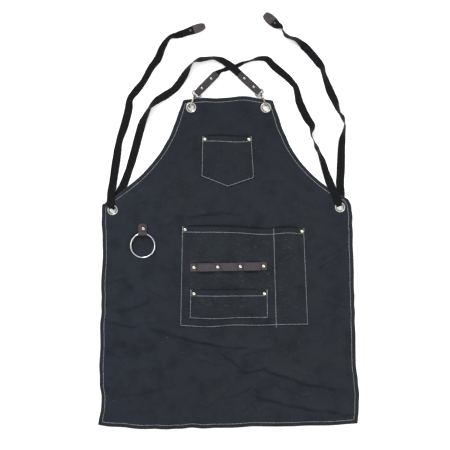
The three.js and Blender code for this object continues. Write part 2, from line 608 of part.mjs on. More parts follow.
// A leather strip folded round a bar: the fold is at the origin, the flaps run along +X
function foldedTab({ width, neck, length, fold, slack, pinch, upper, lower, corner }) {
  const outer = fold + LEATHER;
  const reach = pinch + slack;
  const inside = [foldTangent(reach, upper, fold, 1), foldTangent(reach, lower, fold, -1)];
  const [above, below] = [upper + LEATHER, lower - LEATHER];
  const outside = [foldTangent(reach, above, outer, 1), foldTangent(reach, below, outer, -1)];
  const profile = new THREE.Shape();
  profile.moveTo(length, upper);
  profile.lineTo(pinch, upper);
  profile.absarc(-slack, 0, fold, inside[0], inside[1] + 2 * Math.PI, false);
  profile.lineTo(pinch, lower);
  profile.lineTo(length, lower);
  profile.lineTo(length, below);
  profile.lineTo(pinch, below);
  profile.absarc(-slack, 0, outer, outside[1] + 2 * Math.PI, outside[0], true);
  profile.lineTo(pinch, above);
  profile.lineTo(length, above);
  const strip = new THREE.ExtrudeGeometry(profile, { depth: width, bevelEnabled: false, curveSegments: 5 });
  strip.rotateX(Math.PI / 2).translate(0, width / 2, 0);
  const plan = new THREE.Shape();
  const [half, start] = [width / 2, -slack - outer - 1];
  plan.moveTo(start, -neck / 2);
  plan.lineTo(0, -neck / 2);
  plan.lineTo(pinch, -half);
  plan.lineTo(length - corner, -half);
  plan.absarc(length - corner, -half + corner, corner, -Math.PI / 2, 0, false);
  plan.absarc(length - corner, half - corner, corner, 0, Math.PI / 2, false);
  plan.lineTo(pinch, half);
  plan.lineTo(0, neck / 2);
  plan.lineTo(start, neck / 2);
  const tall = 40;
  const block = new THREE.ExtrudeGeometry(plan, { depth: tall, bevelEnabled: false, curveSegments: 4 });
  block.translate(0, 0, -tall / 2);
  return geometryOf(solidOf(strip).intersect(solidOf(block)));
}

// A flat leather tip: the rivet is at the origin and the rounded end points along +X
function tipGeometry({ width, back: share, full }) {
  const { length, overlap, punch } = TIP;
  const [half, reach, back] = [width / 2, length - overlap, -overlap];
  const plan = new THREE.Shape();
  plan.moveTo(back, -half * share);
  plan.bezierCurveTo(reach * full, -half * 1.1, reach * 0.8, -half * 1.15, reach, -half * 0.5);
  plan.quadraticCurveTo(reach + 2, 0, reach, half * 0.5);
  plan.bezierCurveTo(reach * 0.8, half * 1.15, reach * full, half * 1.1, back, half * share);
  plan.holes.push(new THREE.Path().absarc(reach - 7, 0, punch, 0, 2 * Math.PI, true));
  return new THREE.ExtrudeGeometry(plan, { depth: LEATHER, bevelEnabled: false, curveSegments: 5 });
}

// Stations of a webbing strap along its route. The section's width stays level across the route and is
// then rolled, and the whole is raised so that its lowest edge lies on the base.
function strapStations(route) {
  const plan = new THREE.CatmullRomCurve3(
    route.map(({ x, y }) => new THREE.Vector3(x, y, 0)), false, "centripetal",
  );
  const lay = new THREE.CatmullRomCurve3(
    route.map(({ turn, width }) => new THREE.Vector3(turn, width, 0)), false, "catmullrom", 0.3,
  );
  const rows = route.length - 1;
  const steps = rows * STRAP.stepsPerRow;
  const path = Array.from({ length: steps + 1 }, (_, s) => {
    const row = Math.min(Math.floor(s / STRAP.stepsPerRow), rows - 1);
    const share = s / STRAP.stepsPerRow - row;
    const place = plan.getPoint(s / steps);
    place.z = THREE.MathUtils.lerp(route[row].base, route[row + 1].base, share);
    return place;
  });
  let across = new THREE.Vector3(1, 0, 0);
  return path.map((place, s) => {
    const along = path[Math.min(s + 1, steps)].clone().sub(path[Math.max(s - 1, 0)]).normalize();
    const level = new THREE.Vector3(along.y, -along.x, 0);
    const steep = level.length() < STRAP.steep;
    const side = (steep ? across.clone().projectOnPlane(along) : level).normalize();
    if (s > 0 && side.dot(across) < 0) side.negate();
    across = side;
    const { x: turn, y: width } = lay.getPoint(s / steps);
    const rolled = side.clone().applyAxisAngle(along, THREE.MathUtils.degToRad(turn));
    const up = along.clone().cross(rolled);
    const tallness = (width * Math.abs(rolled.z) + STRAP.thick * Math.abs(up.z)) / 2;
    const centre = place.clone();
    centre.z += Math.max(tallness, STRAP.thick / 2);
    const [w, h] = [width / 2, STRAP.thick / 2];
    return { centre, across: rolled, up, section: [[w, h], [-w, h], [-w, -h], [w, -h]] };
  });
}

// The hook's bent wire in its own frame: the swivel is at the origin and the nose points along +X
function hookGeometry() {
  const { wire: radius, reach, front, rear, nose, collar, stem, head } = HOOK;
  const height = (front - rear) / 2;
  const bend = (front + rear) / 2;
  const points = [
    new THREE.Vector3(2.6, 0, 0.8), new THREE.Vector3(4.4, 0, 4.2), new THREE.Vector3(8, 0, front),
  ];
  const arcSteps = 8;
  for (let k = 0; k <= arcSteps; k++) {
    const angle = Math.PI / 2 - (Math.PI * k) / arcSteps;
    points.push(new THREE.Vector3(
      reach - nose + nose * Math.cos(angle), 0, height + bend * Math.sin(angle),
    ));
  }
  points.push(
    new THREE.Vector3(9, 0, -rear), new THREE.Vector3(5.5, 0, -rear + 0.9), new THREE.Vector3(3, 0, -0.5),
  );
  const bent = wire(points, new THREE.Vector3(0, 1, 0), radius, 6);
  const button = -EYE.thick - SWIVEL_PLAY;
  const shank = turned([
    [0, button - 1.6], [head, button - 1.6], [head, button], [stem, button], [stem, SWIVEL_PLAY],
    [collar, SWIVEL_PLAY], [collar, 4], [collar * 0.7, 5.4], [0, 5.4],
  ], 8).rotateY(Math.PI / 2);
  return join([bent, shank]);
}

// The eye's bowed wire and the boss that the hook turns in, with the boss's face at the origin
function eyeGeometry() {
  const { half, depth, wire: radius, boss, bore, thick } = EYE;
  const points = [];
  const bowSteps = 12;
  for (let k = 0; k <= bowSteps; k++) {
    const angle = (Math.PI * k) / bowSteps;
    const y = half * Math.sign(Math.cos(angle)) * Math.abs(Math.cos(angle)) ** 0.5;
    points.push(new THREE.Vector3(depth - (depth - thick / 2) * Math.sin(angle), y, 0));
  }
  for (const share of [-0.5, 0, 0.5]) points.push(new THREE.Vector3(depth, half * share, 0));
  const loop = wire(points, new THREE.Vector3(0, 0, 1), radius, 6, true);
  const collar = turned([[0, 0], [boss, 0], [boss, thick], [0, thick]], 12).rotateY(Math.PI / 2);
  const hole = turned([[0, -9], [bore, -9], [bore, thick + 3], [0, thick + 3]], 12).rotateY(Math.PI / 2);
  return cut(join([loop, collar]), [hole]);
}

// Where a point of a turned group ends up on the plan
function placed(origin, headingDegrees, along) {
  const heading = THREE.MathUtils.degToRad(headingDegrees);
  return { x: origin.x + along * Math.cos(heading), y: origin.y + along * Math.sin(heading) };
}

function turnedGroup({ x, y }, z, headingDegrees) {
  const group = new THREE.Group();
  group.position.set(x, y, z);
  group.rotation.z = THREE.MathUtils.degToRad(headingDegrees);
  apron.add(group);
  return group;
}

function buildPanel() {
  const holes = GROMMETS.map(({ x, y }) => drill(x, y, GROMMET.tube + 2 * GAP, 12));
  const through = [...MOUTH_RIVETS.chest, ...MOUTH_RIVETS.main, RING_TAB_RIVET];
  const posts = through.map(({ x, y }) => drill(x, y, RIVET.hole));
  addMesh(apron, "apron_panel", cut(panelGeometry(), [...holes, ...posts]), MATERIALS.canvas);
  for (const grommet of GROMMETS) addMesh(apron, grommet.name, grommetGeometry(grommet), MATERIALS.nickel);
}

function buildPockets() {
  const onPanel = () => SEAT;
  const onMain = (x, y) => pocketTop(MAIN_POCKET, SEAT, x, y) + SOFT_GAP;
  const stripRivets = TOOL_STRIP.rivets.map((x) => ({ x, y: stripLine(x) }));
  const drills = (places) => places.map(({ x, y }) => drill(x, y, RIVET.hole));
  const patches = [
    { name: "chest_pocket", pocket: CHEST_POCKET, base: onPanel, rivets: MOUTH_RIVETS.chest, others: [] },
    { name: "main_pocket", pocket: MAIN_POCKET, base: onPanel, rivets: MOUTH_RIVETS.main,
      others: [...MOUTH_RIVETS.small, ...stripRivets] },
    { name: "small_pocket", pocket: SMALL_POCKET, base: onMain, rivets: MOUTH_RIVETS.small, others: [] },
  ];
  for (const { name, pocket, base, rivets, others } of patches) {
    const cloth = cut(pocketGeometry(pocket, base), drills([...rivets, ...others]));
    addMesh(apron, name, cloth, MATERIALS.canvas);
    rivets.forEach(({ x, y }, k) => {
      const behind = base === onPanel ? () => PANEL_UNDER : (px, py) => base(px, py) - SOFT_GAP - CANVAS;
      const front = (px, py) => pocketTop(pocket, base(px, py), px, py);
      const under = underCap(behind, x, y, Math.min) - (base === onPanel ? GAP : SOFT_GAP);
      const over = underCap(front, x, y, Math.max) + GAP;
      const side = ["left", "right"][k];
      addMesh(apron, `${name}_rivet_${side}`, rivetGeometry(x, y, under, over), MATERIALS.brass);
    });
  }
}

// The middle line of the tool strip
function stripLine(x) {
  const { left, right, y } = TOOL_STRIP;
  return THREE.MathUtils.mapLinear(x, left, right, y.left, y.right);
}

function buildToolStrip() {
  const { left, right, width, loop, rivets, cells } = TOOL_STRIP;
  const xs = [left];
  rivets.forEach((x, k) => {
    xs.push(x - RIVET.cap, x + RIVET.cap);
    if (k + 1 === rivets.length) return;
    const [from, to] = [x + RIVET.cap, rivets[k + 1] - RIVET.cap];
    for (let c = 1; c < cells; c++) xs.push(THREE.MathUtils.lerp(from, to, c / cells));
  });
  xs.push(right);
  const seat = (x) => pocketTop(MAIN_POCKET, SEAT, x, stripLine(x)) + SOFT_GAP;
  const arch = (x) => {
    const k = rivets.findIndex((r, n) => n > 0 && x > rivets[n - 1] + RIVET.cap && x < r - RIVET.cap);
    if (k < 0) return 0;
    const share = THREE.MathUtils.inverseLerp(rivets[k - 1] + RIVET.cap, rivets[k] - RIVET.cap, x);
    return loop * (1 - Math.abs(2 * share - 1) ** 3);
  };
  const top = (i, j) => ({
    x: xs[i], y: stripLine(xs[i]) + (j - 0.5) * width, z: seat(xs[i]) + LEATHER + arch(xs[i]),
  });
  const holes = rivets.map((x) => drill(x, stripLine(x), RIVET.hole));
  const strip = cut(gridWall(xs.length, 2, top, () => LEATHER), holes);
  addMesh(apron, "tool_strip", strip, MATERIALS.leather);
  rivets.forEach((x, k) => {
    const under = underCap((px) => seat(px) - SOFT_GAP - CANVAS, x, 0, Math.min) - SOFT_GAP;
    const over = underCap((px) => seat(px) + LEATHER, x, 0, Math.max) + GAP;
    const rivet = rivetGeometry(x, stripLine(x), under, over);
    addMesh(apron, `tool_strip_rivet_${k + 1}`, rivet, MATERIALS.brass);
  });
}

function buildRing() {
  const { width, length, fold, pinch } = RING_TAB;
  const axisHeight = SEAT + LEATHER + fold;
  const tab = foldedTab({
    width, neck: width, length, fold, slack: 0, pinch, upper: -fold + GAP, lower: -fold, corner: 8,
  });
  const lean = 91;
  const group = turnedGroup(RING_PIVOT, axisHeight, lean);
  group.updateMatrixWorld(true);
  const rivet = group.worldToLocal(new THREE.Vector3(RING_TAB_RIVET.x, RING_TAB_RIVET.y, axisHeight));
  addMesh(group, "ring_tab", cut(tab, [drill(rivet.x, rivet.y, RIVET.hole)]), MATERIALS.leather);
  const over = SEAT + 2 * LEATHER + 2 * GAP;
  const rivetMesh = rivetGeometry(RING_TAB_RIVET.x, RING_TAB_RIVET.y, PANEL_UNDER - GAP, over);
  addMesh(apron, "ring_tab_rivet", rivetMesh, MATERIALS.brass);
  // The wire's bow inside the fold is halved about the hinge axis, and the far side rests on the cloth.
  const halfTab = width / 2;
  const bow = (RING.radius - Math.sqrt(RING.radius ** 2 - halfTab ** 2)) / 2;
  const arm = RING.radius - bow;
  const dip = Math.asin((axisHeight - (SEAT + RING.wire)) / (2 * arm));
  const swing = new THREE.Group();
  swing.position.set(RING_PIVOT.x, RING_PIVOT.y, axisHeight);
  swing.rotation.x = dip;
  apron.add(swing);
  const torus = new THREE.TorusGeometry(RING.radius, RING.wire, 8, 28);
  const ring = addMesh(swing, "tool_ring", torus, MATERIALS.nickel);
  ring.position.y = -arm;
}

function buildHookEnds() {
  for (const end of HOOK_ENDS) {
    const bar = placed(end, end.eye, EYE.depth);
    const tabGroup = turnedGroup(bar, TAB_Z, end.tab);
    const { half } = HOOK_TAB;
    const tab = foldedTab({ ...HOOK_TAB, length: end.length, upper: half, lower: -half, corner: 7 });
    const holes = end.rivets.map((along) => drill(along, 0, RIVET.hole));
    addMesh(tabGroup, `hook_tab_${end.side}`, cut(tab, holes), MATERIALS.leather);
    end.rivets.forEach((along, k) => {
      const seat = half + LEATHER + GAP;
      const rivet = rivetGeometry(along, 0, -seat, seat);
      addMesh(tabGroup, `hook_tab_${end.side}_rivet_${k + 1}`, rivet, MATERIALS.nickel);
    });
    const eyeGroup = turnedGroup(end, TAB_Z, end.eye);
    addMesh(eyeGroup, `hook_eye_${end.side}`, eyeGeometry(), MATERIALS.nickel);
    const hookGroup = turnedGroup(end, TAB_Z, end.hook);
    addMesh(hookGroup, `hook_${end.side}`, hookGeometry(), MATERIALS.nickel);
  }
}

function buildStraps() {
  for (const tip of STRAP_TIPS) {
    const end = HOOK_ENDS.find(({ side }) => side !== tip.side);
    const bar = placed(end, end.eye, EYE.depth);
    const holes = end.rivets.map((along) => placed(bar, end.tab, along));
    const webbing = sweep(strapStations(ROUTES[tip.side]));
    const drills = [...holes, tip].map(({ x, y }) => drill(x, y, RIVET.hole));
    addMesh(apron, `strap_${tip.side}`, cut(webbing, drills), MATERIALS.webbing);
    const under = RIVET.back + GAP;
    const group = turnedGroup(tip, 0, tip.heading);
    const leather = cut(tipGeometry(tip).translate(0, 0, under + GAP), [drill(0, 0, RIVET.hole)]);
    addMesh(group, `strap_tip_${tip.side}`, leather, MATERIALS.leather);
    const rivet = rivetGeometry(0, 0, under, TIP_BASE + STRAP.thick + GAP);
    addMesh(group, `strap_tip_${tip.side}_rivet`, rivet, MATERIALS.nickel);
  }
}

buildPanel();
buildPockets();
buildToolStrip();
buildRing();
buildHookEnds();
buildStraps();

export default apron;
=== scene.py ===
"""A canvas work apron, laid flat and face up, dressed over its solids.

Metres, in the frame of the solids: +Z is up from the surface that the apron lies on, and +Y points to the
neck.
"""

import json
import logging
import math
from dataclasses import dataclass, field
from enum import Enum
from typing import Callable, NamedTuple, Optional, Sequence, Union

import bpy
import numpy as np
from bpy.types import Material, Node, NodeSocket, NodeTree, Object
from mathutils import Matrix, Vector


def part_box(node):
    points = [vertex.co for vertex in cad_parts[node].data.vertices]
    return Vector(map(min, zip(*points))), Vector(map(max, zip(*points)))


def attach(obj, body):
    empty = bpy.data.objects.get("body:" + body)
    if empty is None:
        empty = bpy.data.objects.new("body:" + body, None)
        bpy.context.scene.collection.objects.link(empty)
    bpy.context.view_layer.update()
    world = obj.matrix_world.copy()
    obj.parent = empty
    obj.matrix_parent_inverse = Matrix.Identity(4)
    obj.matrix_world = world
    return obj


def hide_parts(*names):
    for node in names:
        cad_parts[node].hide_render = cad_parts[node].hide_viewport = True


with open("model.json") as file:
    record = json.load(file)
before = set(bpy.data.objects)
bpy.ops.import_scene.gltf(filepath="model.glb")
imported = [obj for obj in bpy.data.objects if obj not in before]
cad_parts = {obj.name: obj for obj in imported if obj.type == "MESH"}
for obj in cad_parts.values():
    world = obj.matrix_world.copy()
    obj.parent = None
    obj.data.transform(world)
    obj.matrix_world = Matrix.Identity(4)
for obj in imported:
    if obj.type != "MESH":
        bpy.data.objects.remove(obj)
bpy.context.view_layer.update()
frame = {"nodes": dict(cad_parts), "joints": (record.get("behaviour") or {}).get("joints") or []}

LOG = logging.getLogger("work_apron")
BODY = "apron"
RING_BODY = "ring"

Array = np.ndarray
Colour = tuple[float, float, float, float]
Place = tuple[float, float]

# Clearances and heights that the sewn pieces share
GAP = 0.0003
SOFT_GAP = 0.0006
CANVAS = 0.0012
HEM_THICK = 0.0027
LEATHER = 0.0016
WEBBING = 0.022
SEWN = 0.0195
WEBBING_THICK = 0.0016
PANEL_TOP = HEM_THICK
SEAT = PANEL_TOP + GAP
RIVET_BACK = 0.0009
TAB_HEIGHT = 0.0045
TAB_BASE = TAB_HEIGHT - WEBBING_THICK / 2
TIP_BASE = RIVET_BACK + 3 * GAP + LEATHER


class Slot(Enum):
    """The finishes that the record names."""

    CANVAS = "canvas"
    WEBBING = "webbing"
    LEATHER = "leather"
    NICKEL = "nickel"
    RIVET_METAL = "rivet_metal"


class Fold(NamedTuple):
    """A ridge of cloth between two points, flat on top as far as flat and gone at flat + foot."""

    x0: float
    y0: float
    x1: float
    y1: float
    foot: float
    rise: float
    flat: float = 0.0


class Creasing(NamedTuple):
    """How a kind of fold lies.

    Its line strays by the wobble. Its foot is steep times shorter on the right of the line and gentle times
    longer on the left. A rise of deep gives its hollow painted shade in full, and one of rubbed makes its
    crest pale in full, partly as wear and partly as painted highlight.
    """

    wobble: float = 0.0
    steep: float = 1.0
    gentle: float = 1.0
    deep: float = 1.0
    rub_and_highlight: float = 1.0


class Wave(NamedTuple):
    """A bump across a laid edge: where it is, how far it reaches and how far it pushes the edge."""

    at: float
    half: float
    push: float


class RouteRow(NamedTuple):
    """A station of a webbing route: plan place, height of what it lies on, roll in degrees and width."""

    x: float
    y: float
    base: float
    turn: float
    width: float


# What holds the panel off the surface: hook wires and webbing pass under at these corners
LIFTS = tuple(Fold(*row) for row in (
    (-0.0975, 0.3028, -0.092, 0.322, 0.036, 0.005, 0.030),
    (0.1028, 0.3026, 0.097, 0.322, 0.036, 0.005, 0.030),
    (-0.3083, 0.028, -0.285, 0.087, 0.030, 0.0036, 0.031),
    (0.3021, 0.0355, 0.307, 0.066, 0.030, 0.0036, 0.031),
))

FOLD_SHAPE = Creasing(wobble=0.0018, steep=1.9, gentle=2.0, deep=0.0050, rub_and_highlight=0.006)
CREASE_SHAPE = Creasing(wobble=0.0012, steep=2.0, gentle=1.7, deep=0.0028, rub_and_highlight=0.002)

# The main soft creases: each line is a crest, from which the cloth falls off steeply on the right
FOLDS = tuple(Fold(*row) for row in (
    (-0.316, -0.272, -0.257, -0.281, 0.016, 0.0036), (-0.199, -0.292, -0.136, -0.308, 0.016, 0.0036),
    (-0.136, -0.308, -0.020, -0.335, 0.020, 0.0050), (-0.020, -0.335, 0.034, -0.339, 0.018, 0.0040),
    (-0.008, -0.358, 0.046, -0.403, 0.018, 0.0044), (0.046, -0.403, 0.101, -0.3955, 0.018, 0.0046),
    (0.101, -0.3955, 0.204, -0.433, 0.022, 0.0052), (0.204, -0.433, 0.289, -0.451, 0.018, 0.0042),
    (0.088, -0.474, 0.204, -0.500, 0.020, 0.0044), (0.204, -0.500, 0.321, -0.518, 0.020, 0.0048),
    (0.016, -0.470, 0.061, -0.447, 0.014, 0.0028), (0.061, -0.447, 0.097, -0.451, 0.012, 0.0024),
    (0.043, -0.506, 0.079, -0.479, 0.014, 0.0028), (-0.102, 0.012, -0.022, 0.024, 0.016, 0.0034),
    (-0.022, 0.024, 0.030, 0.019, 0.016, 0.0028), (-0.300, -0.470, -0.150, -0.440, 0.030, 0.0018),
    (0.235, -0.110, 0.322, -0.060, 0.022, 0.0022), (-0.290, -0.240, -0.215, -0.215, 0.024, 0.0026),
))

# Sharp small creases, where the waxed cloth has been folded
CREASES = tuple(Fold(*row) for row in (
    (-0.244, -0.274, -0.199, -0.271, 0.011, 0.0020), (-0.180, -0.291, -0.100, -0.309, 0.010, 0.0016),
    (0.052, -0.358, 0.115, -0.340, 0.012, 0.0020), (-0.074, -0.371, -0.020, -0.384, 0.013, 0.0018),
    (0.034, -0.339, 0.104, -0.344, 0.012, 0.0018), (-0.325, -0.345, -0.288, -0.366, 0.012, 0.0018),
    (0.074, -0.403, 0.100, -0.430, 0.010, 0.0018), (0.182, -0.400, 0.250, -0.428, 0.011, 0.0018),
    (0.140, -0.445, 0.215, -0.470, 0.012, 0.0016), (-0.154, -0.004, -0.128, 0.014, 0.009, 0.0014),
    (-0.190, -0.010, -0.128, -0.005, 0.011, 0.0018), (-0.112, 0.000, -0.066, 0.016, 0.009, 0.0018),
    (0.076, -0.004, 0.106, 0.022, 0.010, 0.0018), (0.118, 0.001, 0.176, 0.009, 0.011, 0.0017),
    (-0.105, 0.268, -0.062, 0.284, 0.010, 0.0013), (0.078, 0.222, 0.098, 0.246, 0.009, 0.0012),
    (0.096, 0.104, 0.146, 0.108, 0.012, 0.0016), (0.146, 0.108, 0.154, 0.082, 0.010, 0.0014),
    (0.182, 0.082, 0.196, 0.052, 0.010, 0.0016), (0.205, 0.112, 0.224, 0.078, 0.010, 0.0014),
    (-0.155, 0.062, -0.110, 0.070, 0.012, 0.0012), (-0.275, 0.045, -0.222, 0.052, 0.011, 0.0014),
    (0.244, -0.128, 0.290, -0.098, 0.010, 0.0016), (-0.215, -0.180, -0.165, -0.210, 0.012, 0.0014),
    (-0.320, -0.165, -0.270, -0.150, 0.012, 0.0013), (0.262, -0.215, 0.312, -0.228, 0.013, 0.0015),
    (-0.060, -0.500, 0.000, -0.455, 0.013, 0.0014), (-0.270, -0.405, -0.215, -0.395, 0.012, 0.0012),
    (-0.330, -0.505, -0.300, -0.440, 0.012, 0.0014),
))

# Edges of what lies on the panel, where the cloth is held flat: x0, y0, x1, y1
FLAT_PLACES = (
    (-0.076, 0.086, 0.078, 0.234),
    (-0.132, -0.290, 0.225, -0.010),
    (-0.264, -0.110, -0.192, -0.004),
)

# How the laid edges stray from the plain outline, with places along each edge
EDGE_WAVES = {
    "bottom": (
        Wave(-0.325, 0.060, -0.0065), Wave(-0.250, 0.105, -0.011), Wave(-0.165, 0.035, -0.0028),
        Wave(-0.110, 0.210, -0.016), Wave(-0.096, 0.035, 0.0036), Wave(0.020, 0.060, -0.0022),
        Wave(0.130, 0.230, -0.0095), Wave(0.285, 0.090, -0.0034),
    ),
    "top": (Wave(-0.032, 0.034, -0.0015), Wave(0.042, 0.050, 0.0045)),
    "left": (
        Wave(0.318, 0.040, 0.003), Wave(0.270, 0.110, -0.003), Wave(0.110, 0.070, 0.003),
        Wave(0.010, 0.060, -0.002), Wave(-0.090, 0.075, 0.0032), Wave(-0.290, 0.190, 0.004),
        Wave(-0.292, 0.060, -0.003), Wave(-0.435, 0.050, 0.0025), Wave(-0.480, 0.050, 0.005),
        Wave(-0.500, 0.085, 0.0058),
    ),
    "right": (
        Wave(0.270, 0.120, 0.005), Wave(0.172, 0.050, -0.003), Wave(0.110, 0.070, -0.004),
        Wave(0.033, 0.030, -0.0018), Wave(-0.470, 0.090, 0.006),
    ),
}

# The straps from their hook tabs, through the waist grommets and back to their tips
STRAP_LEFT_ROUTE = tuple(RouteRow(*row) for row in (
    (0.0728, 0.3562, TAB_BASE, 0, SEWN), (0.028, 0.3974, TAB_BASE, 0, SEWN),
    (0.007, 0.4156, 0.0029, 0, 0.021), (-0.0145, 0.4296, 0.0022, 15, 0.018),
    (-0.0352, 0.4356, 0, 48, 0.017), (-0.06, 0.4334, 0, 45, 0.018), (-0.072, 0.4316, 0, 38, 0.02),
    (-0.0879, 0.4268, 0, 70, 0.02), (-0.093, 0.423, 0, 78, 0.02), (-0.0993, 0.4155, 0, 66, 0.021),
    (-0.1113, 0.3962, 0, 33, WEBBING), (-0.1185, 0.3846, 0, 15, 0.021), (-0.1343, 0.3621, 0, 0, 0.0205),
    (-0.1438, 0.352, 0, 0, 0.0195), (-0.166, 0.3366, 0, 0, 0.0215), (-0.1879, 0.323, 0, 20, 0.021),
    (-0.2044, 0.3073, 0, 52, 0.021), (-0.2081, 0.3021, 0, 60, 0.021), (-0.2188, 0.2819, 0, 40, 0.021),
    (-0.2288, 0.2611, 0, 15, 0.0215), (-0.2332, 0.2473, 0, 0, 0.0215), (-0.2536, 0.171, 0, 0, WEBBING),
    (-0.2644, 0.1362, 0, 0, 0.02), (-0.279, 0.097, 0.0001, 0, 0.0215), (-0.299, 0.06, 0.0001, 0, 0.018),
    (-0.306, 0.042, 0.0001, 0, 0.012), (-0.3076, 0.033, 0.0004, 0, 0.011),
    (-0.3092, 0.031, 0.0044, 0, 0.0125), (-0.3106, 0.0334, 0.0084, 0, 0.0150),
    (-0.3126, 0.043, 0.0085, 0, 0.0215), (-0.3128, 0.058, 0.0072, 0, 0.0215),
    (-0.311, 0.076, 0.0066, 0, WEBBING), (-0.3072, 0.104, 0.0004, 0, WEBBING),
    (-0.2974, 0.1704, 0, 0, WEBBING), (-0.2906, 0.2133, 0, 0, 0.0185), (-0.2764, 0.2563, 0, 8, 0.0215),
    (-0.2654, 0.2997, 0, 12, 0.0215), (-0.2619, 0.3263, 0, 0, 0.0175), (-0.2457, 0.3481, 0, 0, 0.0195),
    (-0.2269, 0.3712, 0, 20, 0.0175), (-0.2047, 0.4111, 0, 0, 0.0185), (-0.1867, 0.4348, 0, 10, 0.0205),
    (-0.1741, 0.4636, 0, 42, 0.021), (-0.1571, 0.4886, 0, 68, 0.021), (-0.1496, 0.4933, 0, 66, 0.021),
    (-0.1339, 0.4964, 0.002, 38, SEWN), (-0.1183, 0.5024, TIP_BASE, 0, SEWN),
    (-0.091, 0.5122, TIP_BASE, 0, SEWN),
))

STRAP_RIGHT_ROUTE = tuple(RouteRow(*row) for row in (
    (-0.07, 0.3534, TAB_BASE, 0, SEWN), (-0.032, 0.391, TAB_BASE, 0, SEWN),
    (-0.025, 0.397, TAB_BASE, 0, 0.015), (-0.018, 0.4018, 0.002, 0, 0.01),
    (-0.005, 0.406, 0.0002, 0, 0.011), (0.026, 0.416, 0, 0, 0.0105), (0.0444, 0.4234, 0, 66, 0.013),
    (0.0582, 0.427, 0, 84, 0.018), (0.066, 0.4294, 0, 84, 0.02), (0.0832, 0.4335, 0, 69, 0.0215),
    (0.1006, 0.4335, 0, 58, WEBBING), (0.1091, 0.4301, 0, 46, WEBBING), (0.1231, 0.4153, 0, 38, WEBBING),
    (0.1407, 0.4006, 0, 30, 0.021), (0.1607, 0.3842, 0, 30, 0.0195), (0.1758, 0.3676, 0, 44, 0.0195),
    (0.1821, 0.36, 0, 48, 0.0195), (0.1879, 0.34, 0, 40, 0.021), (0.1931, 0.3182, 0, 26, 0.0215),
    (0.2048, 0.293, 0, 0, 0.0215), (0.2156, 0.2718, 0, 18, 0.021), (0.2267, 0.2552, 0, 32, 0.0205),
    (0.2272, 0.2468, 0, 54, 0.0205), (0.2249, 0.2302, 0, 85, 0.0205), (0.2318, 0.2141, 0, 98, 0.0205),
    (0.2397, 0.1947, 0, 128, 0.0205), (0.2452, 0.1835, 0, 120, 0.02), (0.2552, 0.16, 0, 142, 0.0215),
    (0.2628, 0.1351, 0.0004, 160, 0.02), (0.274, 0.103, 0.006, 180, 0.0215),
    (0.2894, 0.0683, 0.007, 180, 0.021), (0.2968, 0.050, 0.0085, 180, 0.0215),
    (0.2998, 0.0405, 0.0084, 180, 0.0150), (0.301, 0.0383, 0.0044, 180, 0.0130),
    (0.3023, 0.0409, 0.0004, 180, 0.011), (0.3032, 0.05, 0.0001, 180, 0.012),
    (0.3065, 0.066, 0.0001, 180, 0.018), (0.303, 0.098, 0, 180, WEBBING), (0.3047, 0.133, 0, 180, WEBBING),
    (0.3077, 0.2121, 0, 206, 0.0215), (0.3127, 0.24, 0, 244, 0.021), (0.315, 0.2568, 0, 255, 0.021),
    (0.3124, 0.2668, 0, 279, 0.021), (0.3084, 0.2777, 0, 290, 0.021), (0.301, 0.2876, 0, 280, 0.02),
    (0.2945, 0.3012, 0, 298, 0.0205), (0.2883, 0.3207, 0, 322, 0.0215), (0.2778, 0.3424, 0, 338, 0.0215),
    (0.2659, 0.3716, 0, 312, 0.0215), (0.2575, 0.3955, 0, 296, 0.0215), (0.2538, 0.4107, 0, 309, 0.0215),
    (0.2464, 0.4212, 0, 334, 0.0215), (0.2287, 0.4436, 0, 340, 0.0215), (0.2086, 0.4658, 0, 350, 0.0215),
    (0.1985, 0.4749, 0, 388, 0.0215), (0.1847, 0.4854, 0, 409, 0.0215), (0.17, 0.49, 0, 418, 0.0215),
    (0.1575, 0.4959, 0, 412, 0.0205), (0.1504, 0.5057, 0.0005, 428, 0.018),
    (0.1472, 0.5118, 0.0018, 438, 0.016), (0.144, 0.518, TIP_BASE, 500, 0.014),
    (0.1392, 0.5222, TIP_BASE, 530, 0.0165), (0.1354, 0.524, TIP_BASE, 540, 0.018),
    (0.1307, 0.5265, TIP_BASE, 540, SEWN), (0.1228, 0.534, TIP_BASE, 540, SEWN),
))


def srgb(red: int, green: int, blue: int) -> Colour:
    """A colour for a shader from display values of 0 to 255.

    Args:
        red: display red.
        green: display green.
        blue: display blue.

    Returns:
        Linear red, green, blue and an alpha of one.
    """
    shares = np.array([red, green, blue]) / 255
    linear = np.where(shares <= 0.04045, shares / 12.92, ((shares + 0.055) / 1.055) ** 2.4)
    return (float(linear[0]), float(linear[1]), float(linear[2]), 1.0)


def bump(distance: Array, half: float) -> Array:
    """A cosine bump: one at no distance, nothing from half outwards."""
    return np.where(distance >= half, 0.0, (1 + np.cos(np.pi * np.minimum(distance, half) / half)) / 2)


def ease(value: Array, low: float, high: float) -> Array:
    """A smooth step from nothing at low to one at high."""
    share = np.clip((value - low) / (high - low), 0, 1)
    return share * share * (3 - 2 * share)


def unit(vectors: Array) -> Array:
    """The vectors, each made one long."""
    return vectors / np.maximum(np.linalg.norm(vectors, axis=-1, keepdims=True), 1e-12)


def spot(distance: Array, width: float) -> Array:
    """A bell that is one at no distance and has fallen to about a third at its width."""
    return np.exp(-(distance / width) ** 2)


def rounded_edge(distance: Array, radius: float, thin: float = 0.2) -> Array:
    """Share of the full thickness near a round edge: thin at the edge itself, and one from the radius on."""
    return thin + (1 - thin) * np.sqrt(1 - (1 - np.clip(distance / radius, 0, 1)) ** 2)


def pushed(waves: Sequence[Wave], at: Array) -> Array:
    """How far a row of waves pushes an edge at the given places."""
    return sum(wave.push * bump(np.abs(at - wave.at), wave.half) for wave in waves)


def step_lengths(path: Array) -> Array:
    """The distance from each point of a path to the next."""
    return np.linalg.norm(np.diff(path, axis=0), axis=1)


def middle_of(node: str) -> Place:
    """The middle of a node's solid on the plan."""
    low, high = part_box(node)
    return ((low.x + high.x) / 2, (low.y + high.y) / 2)


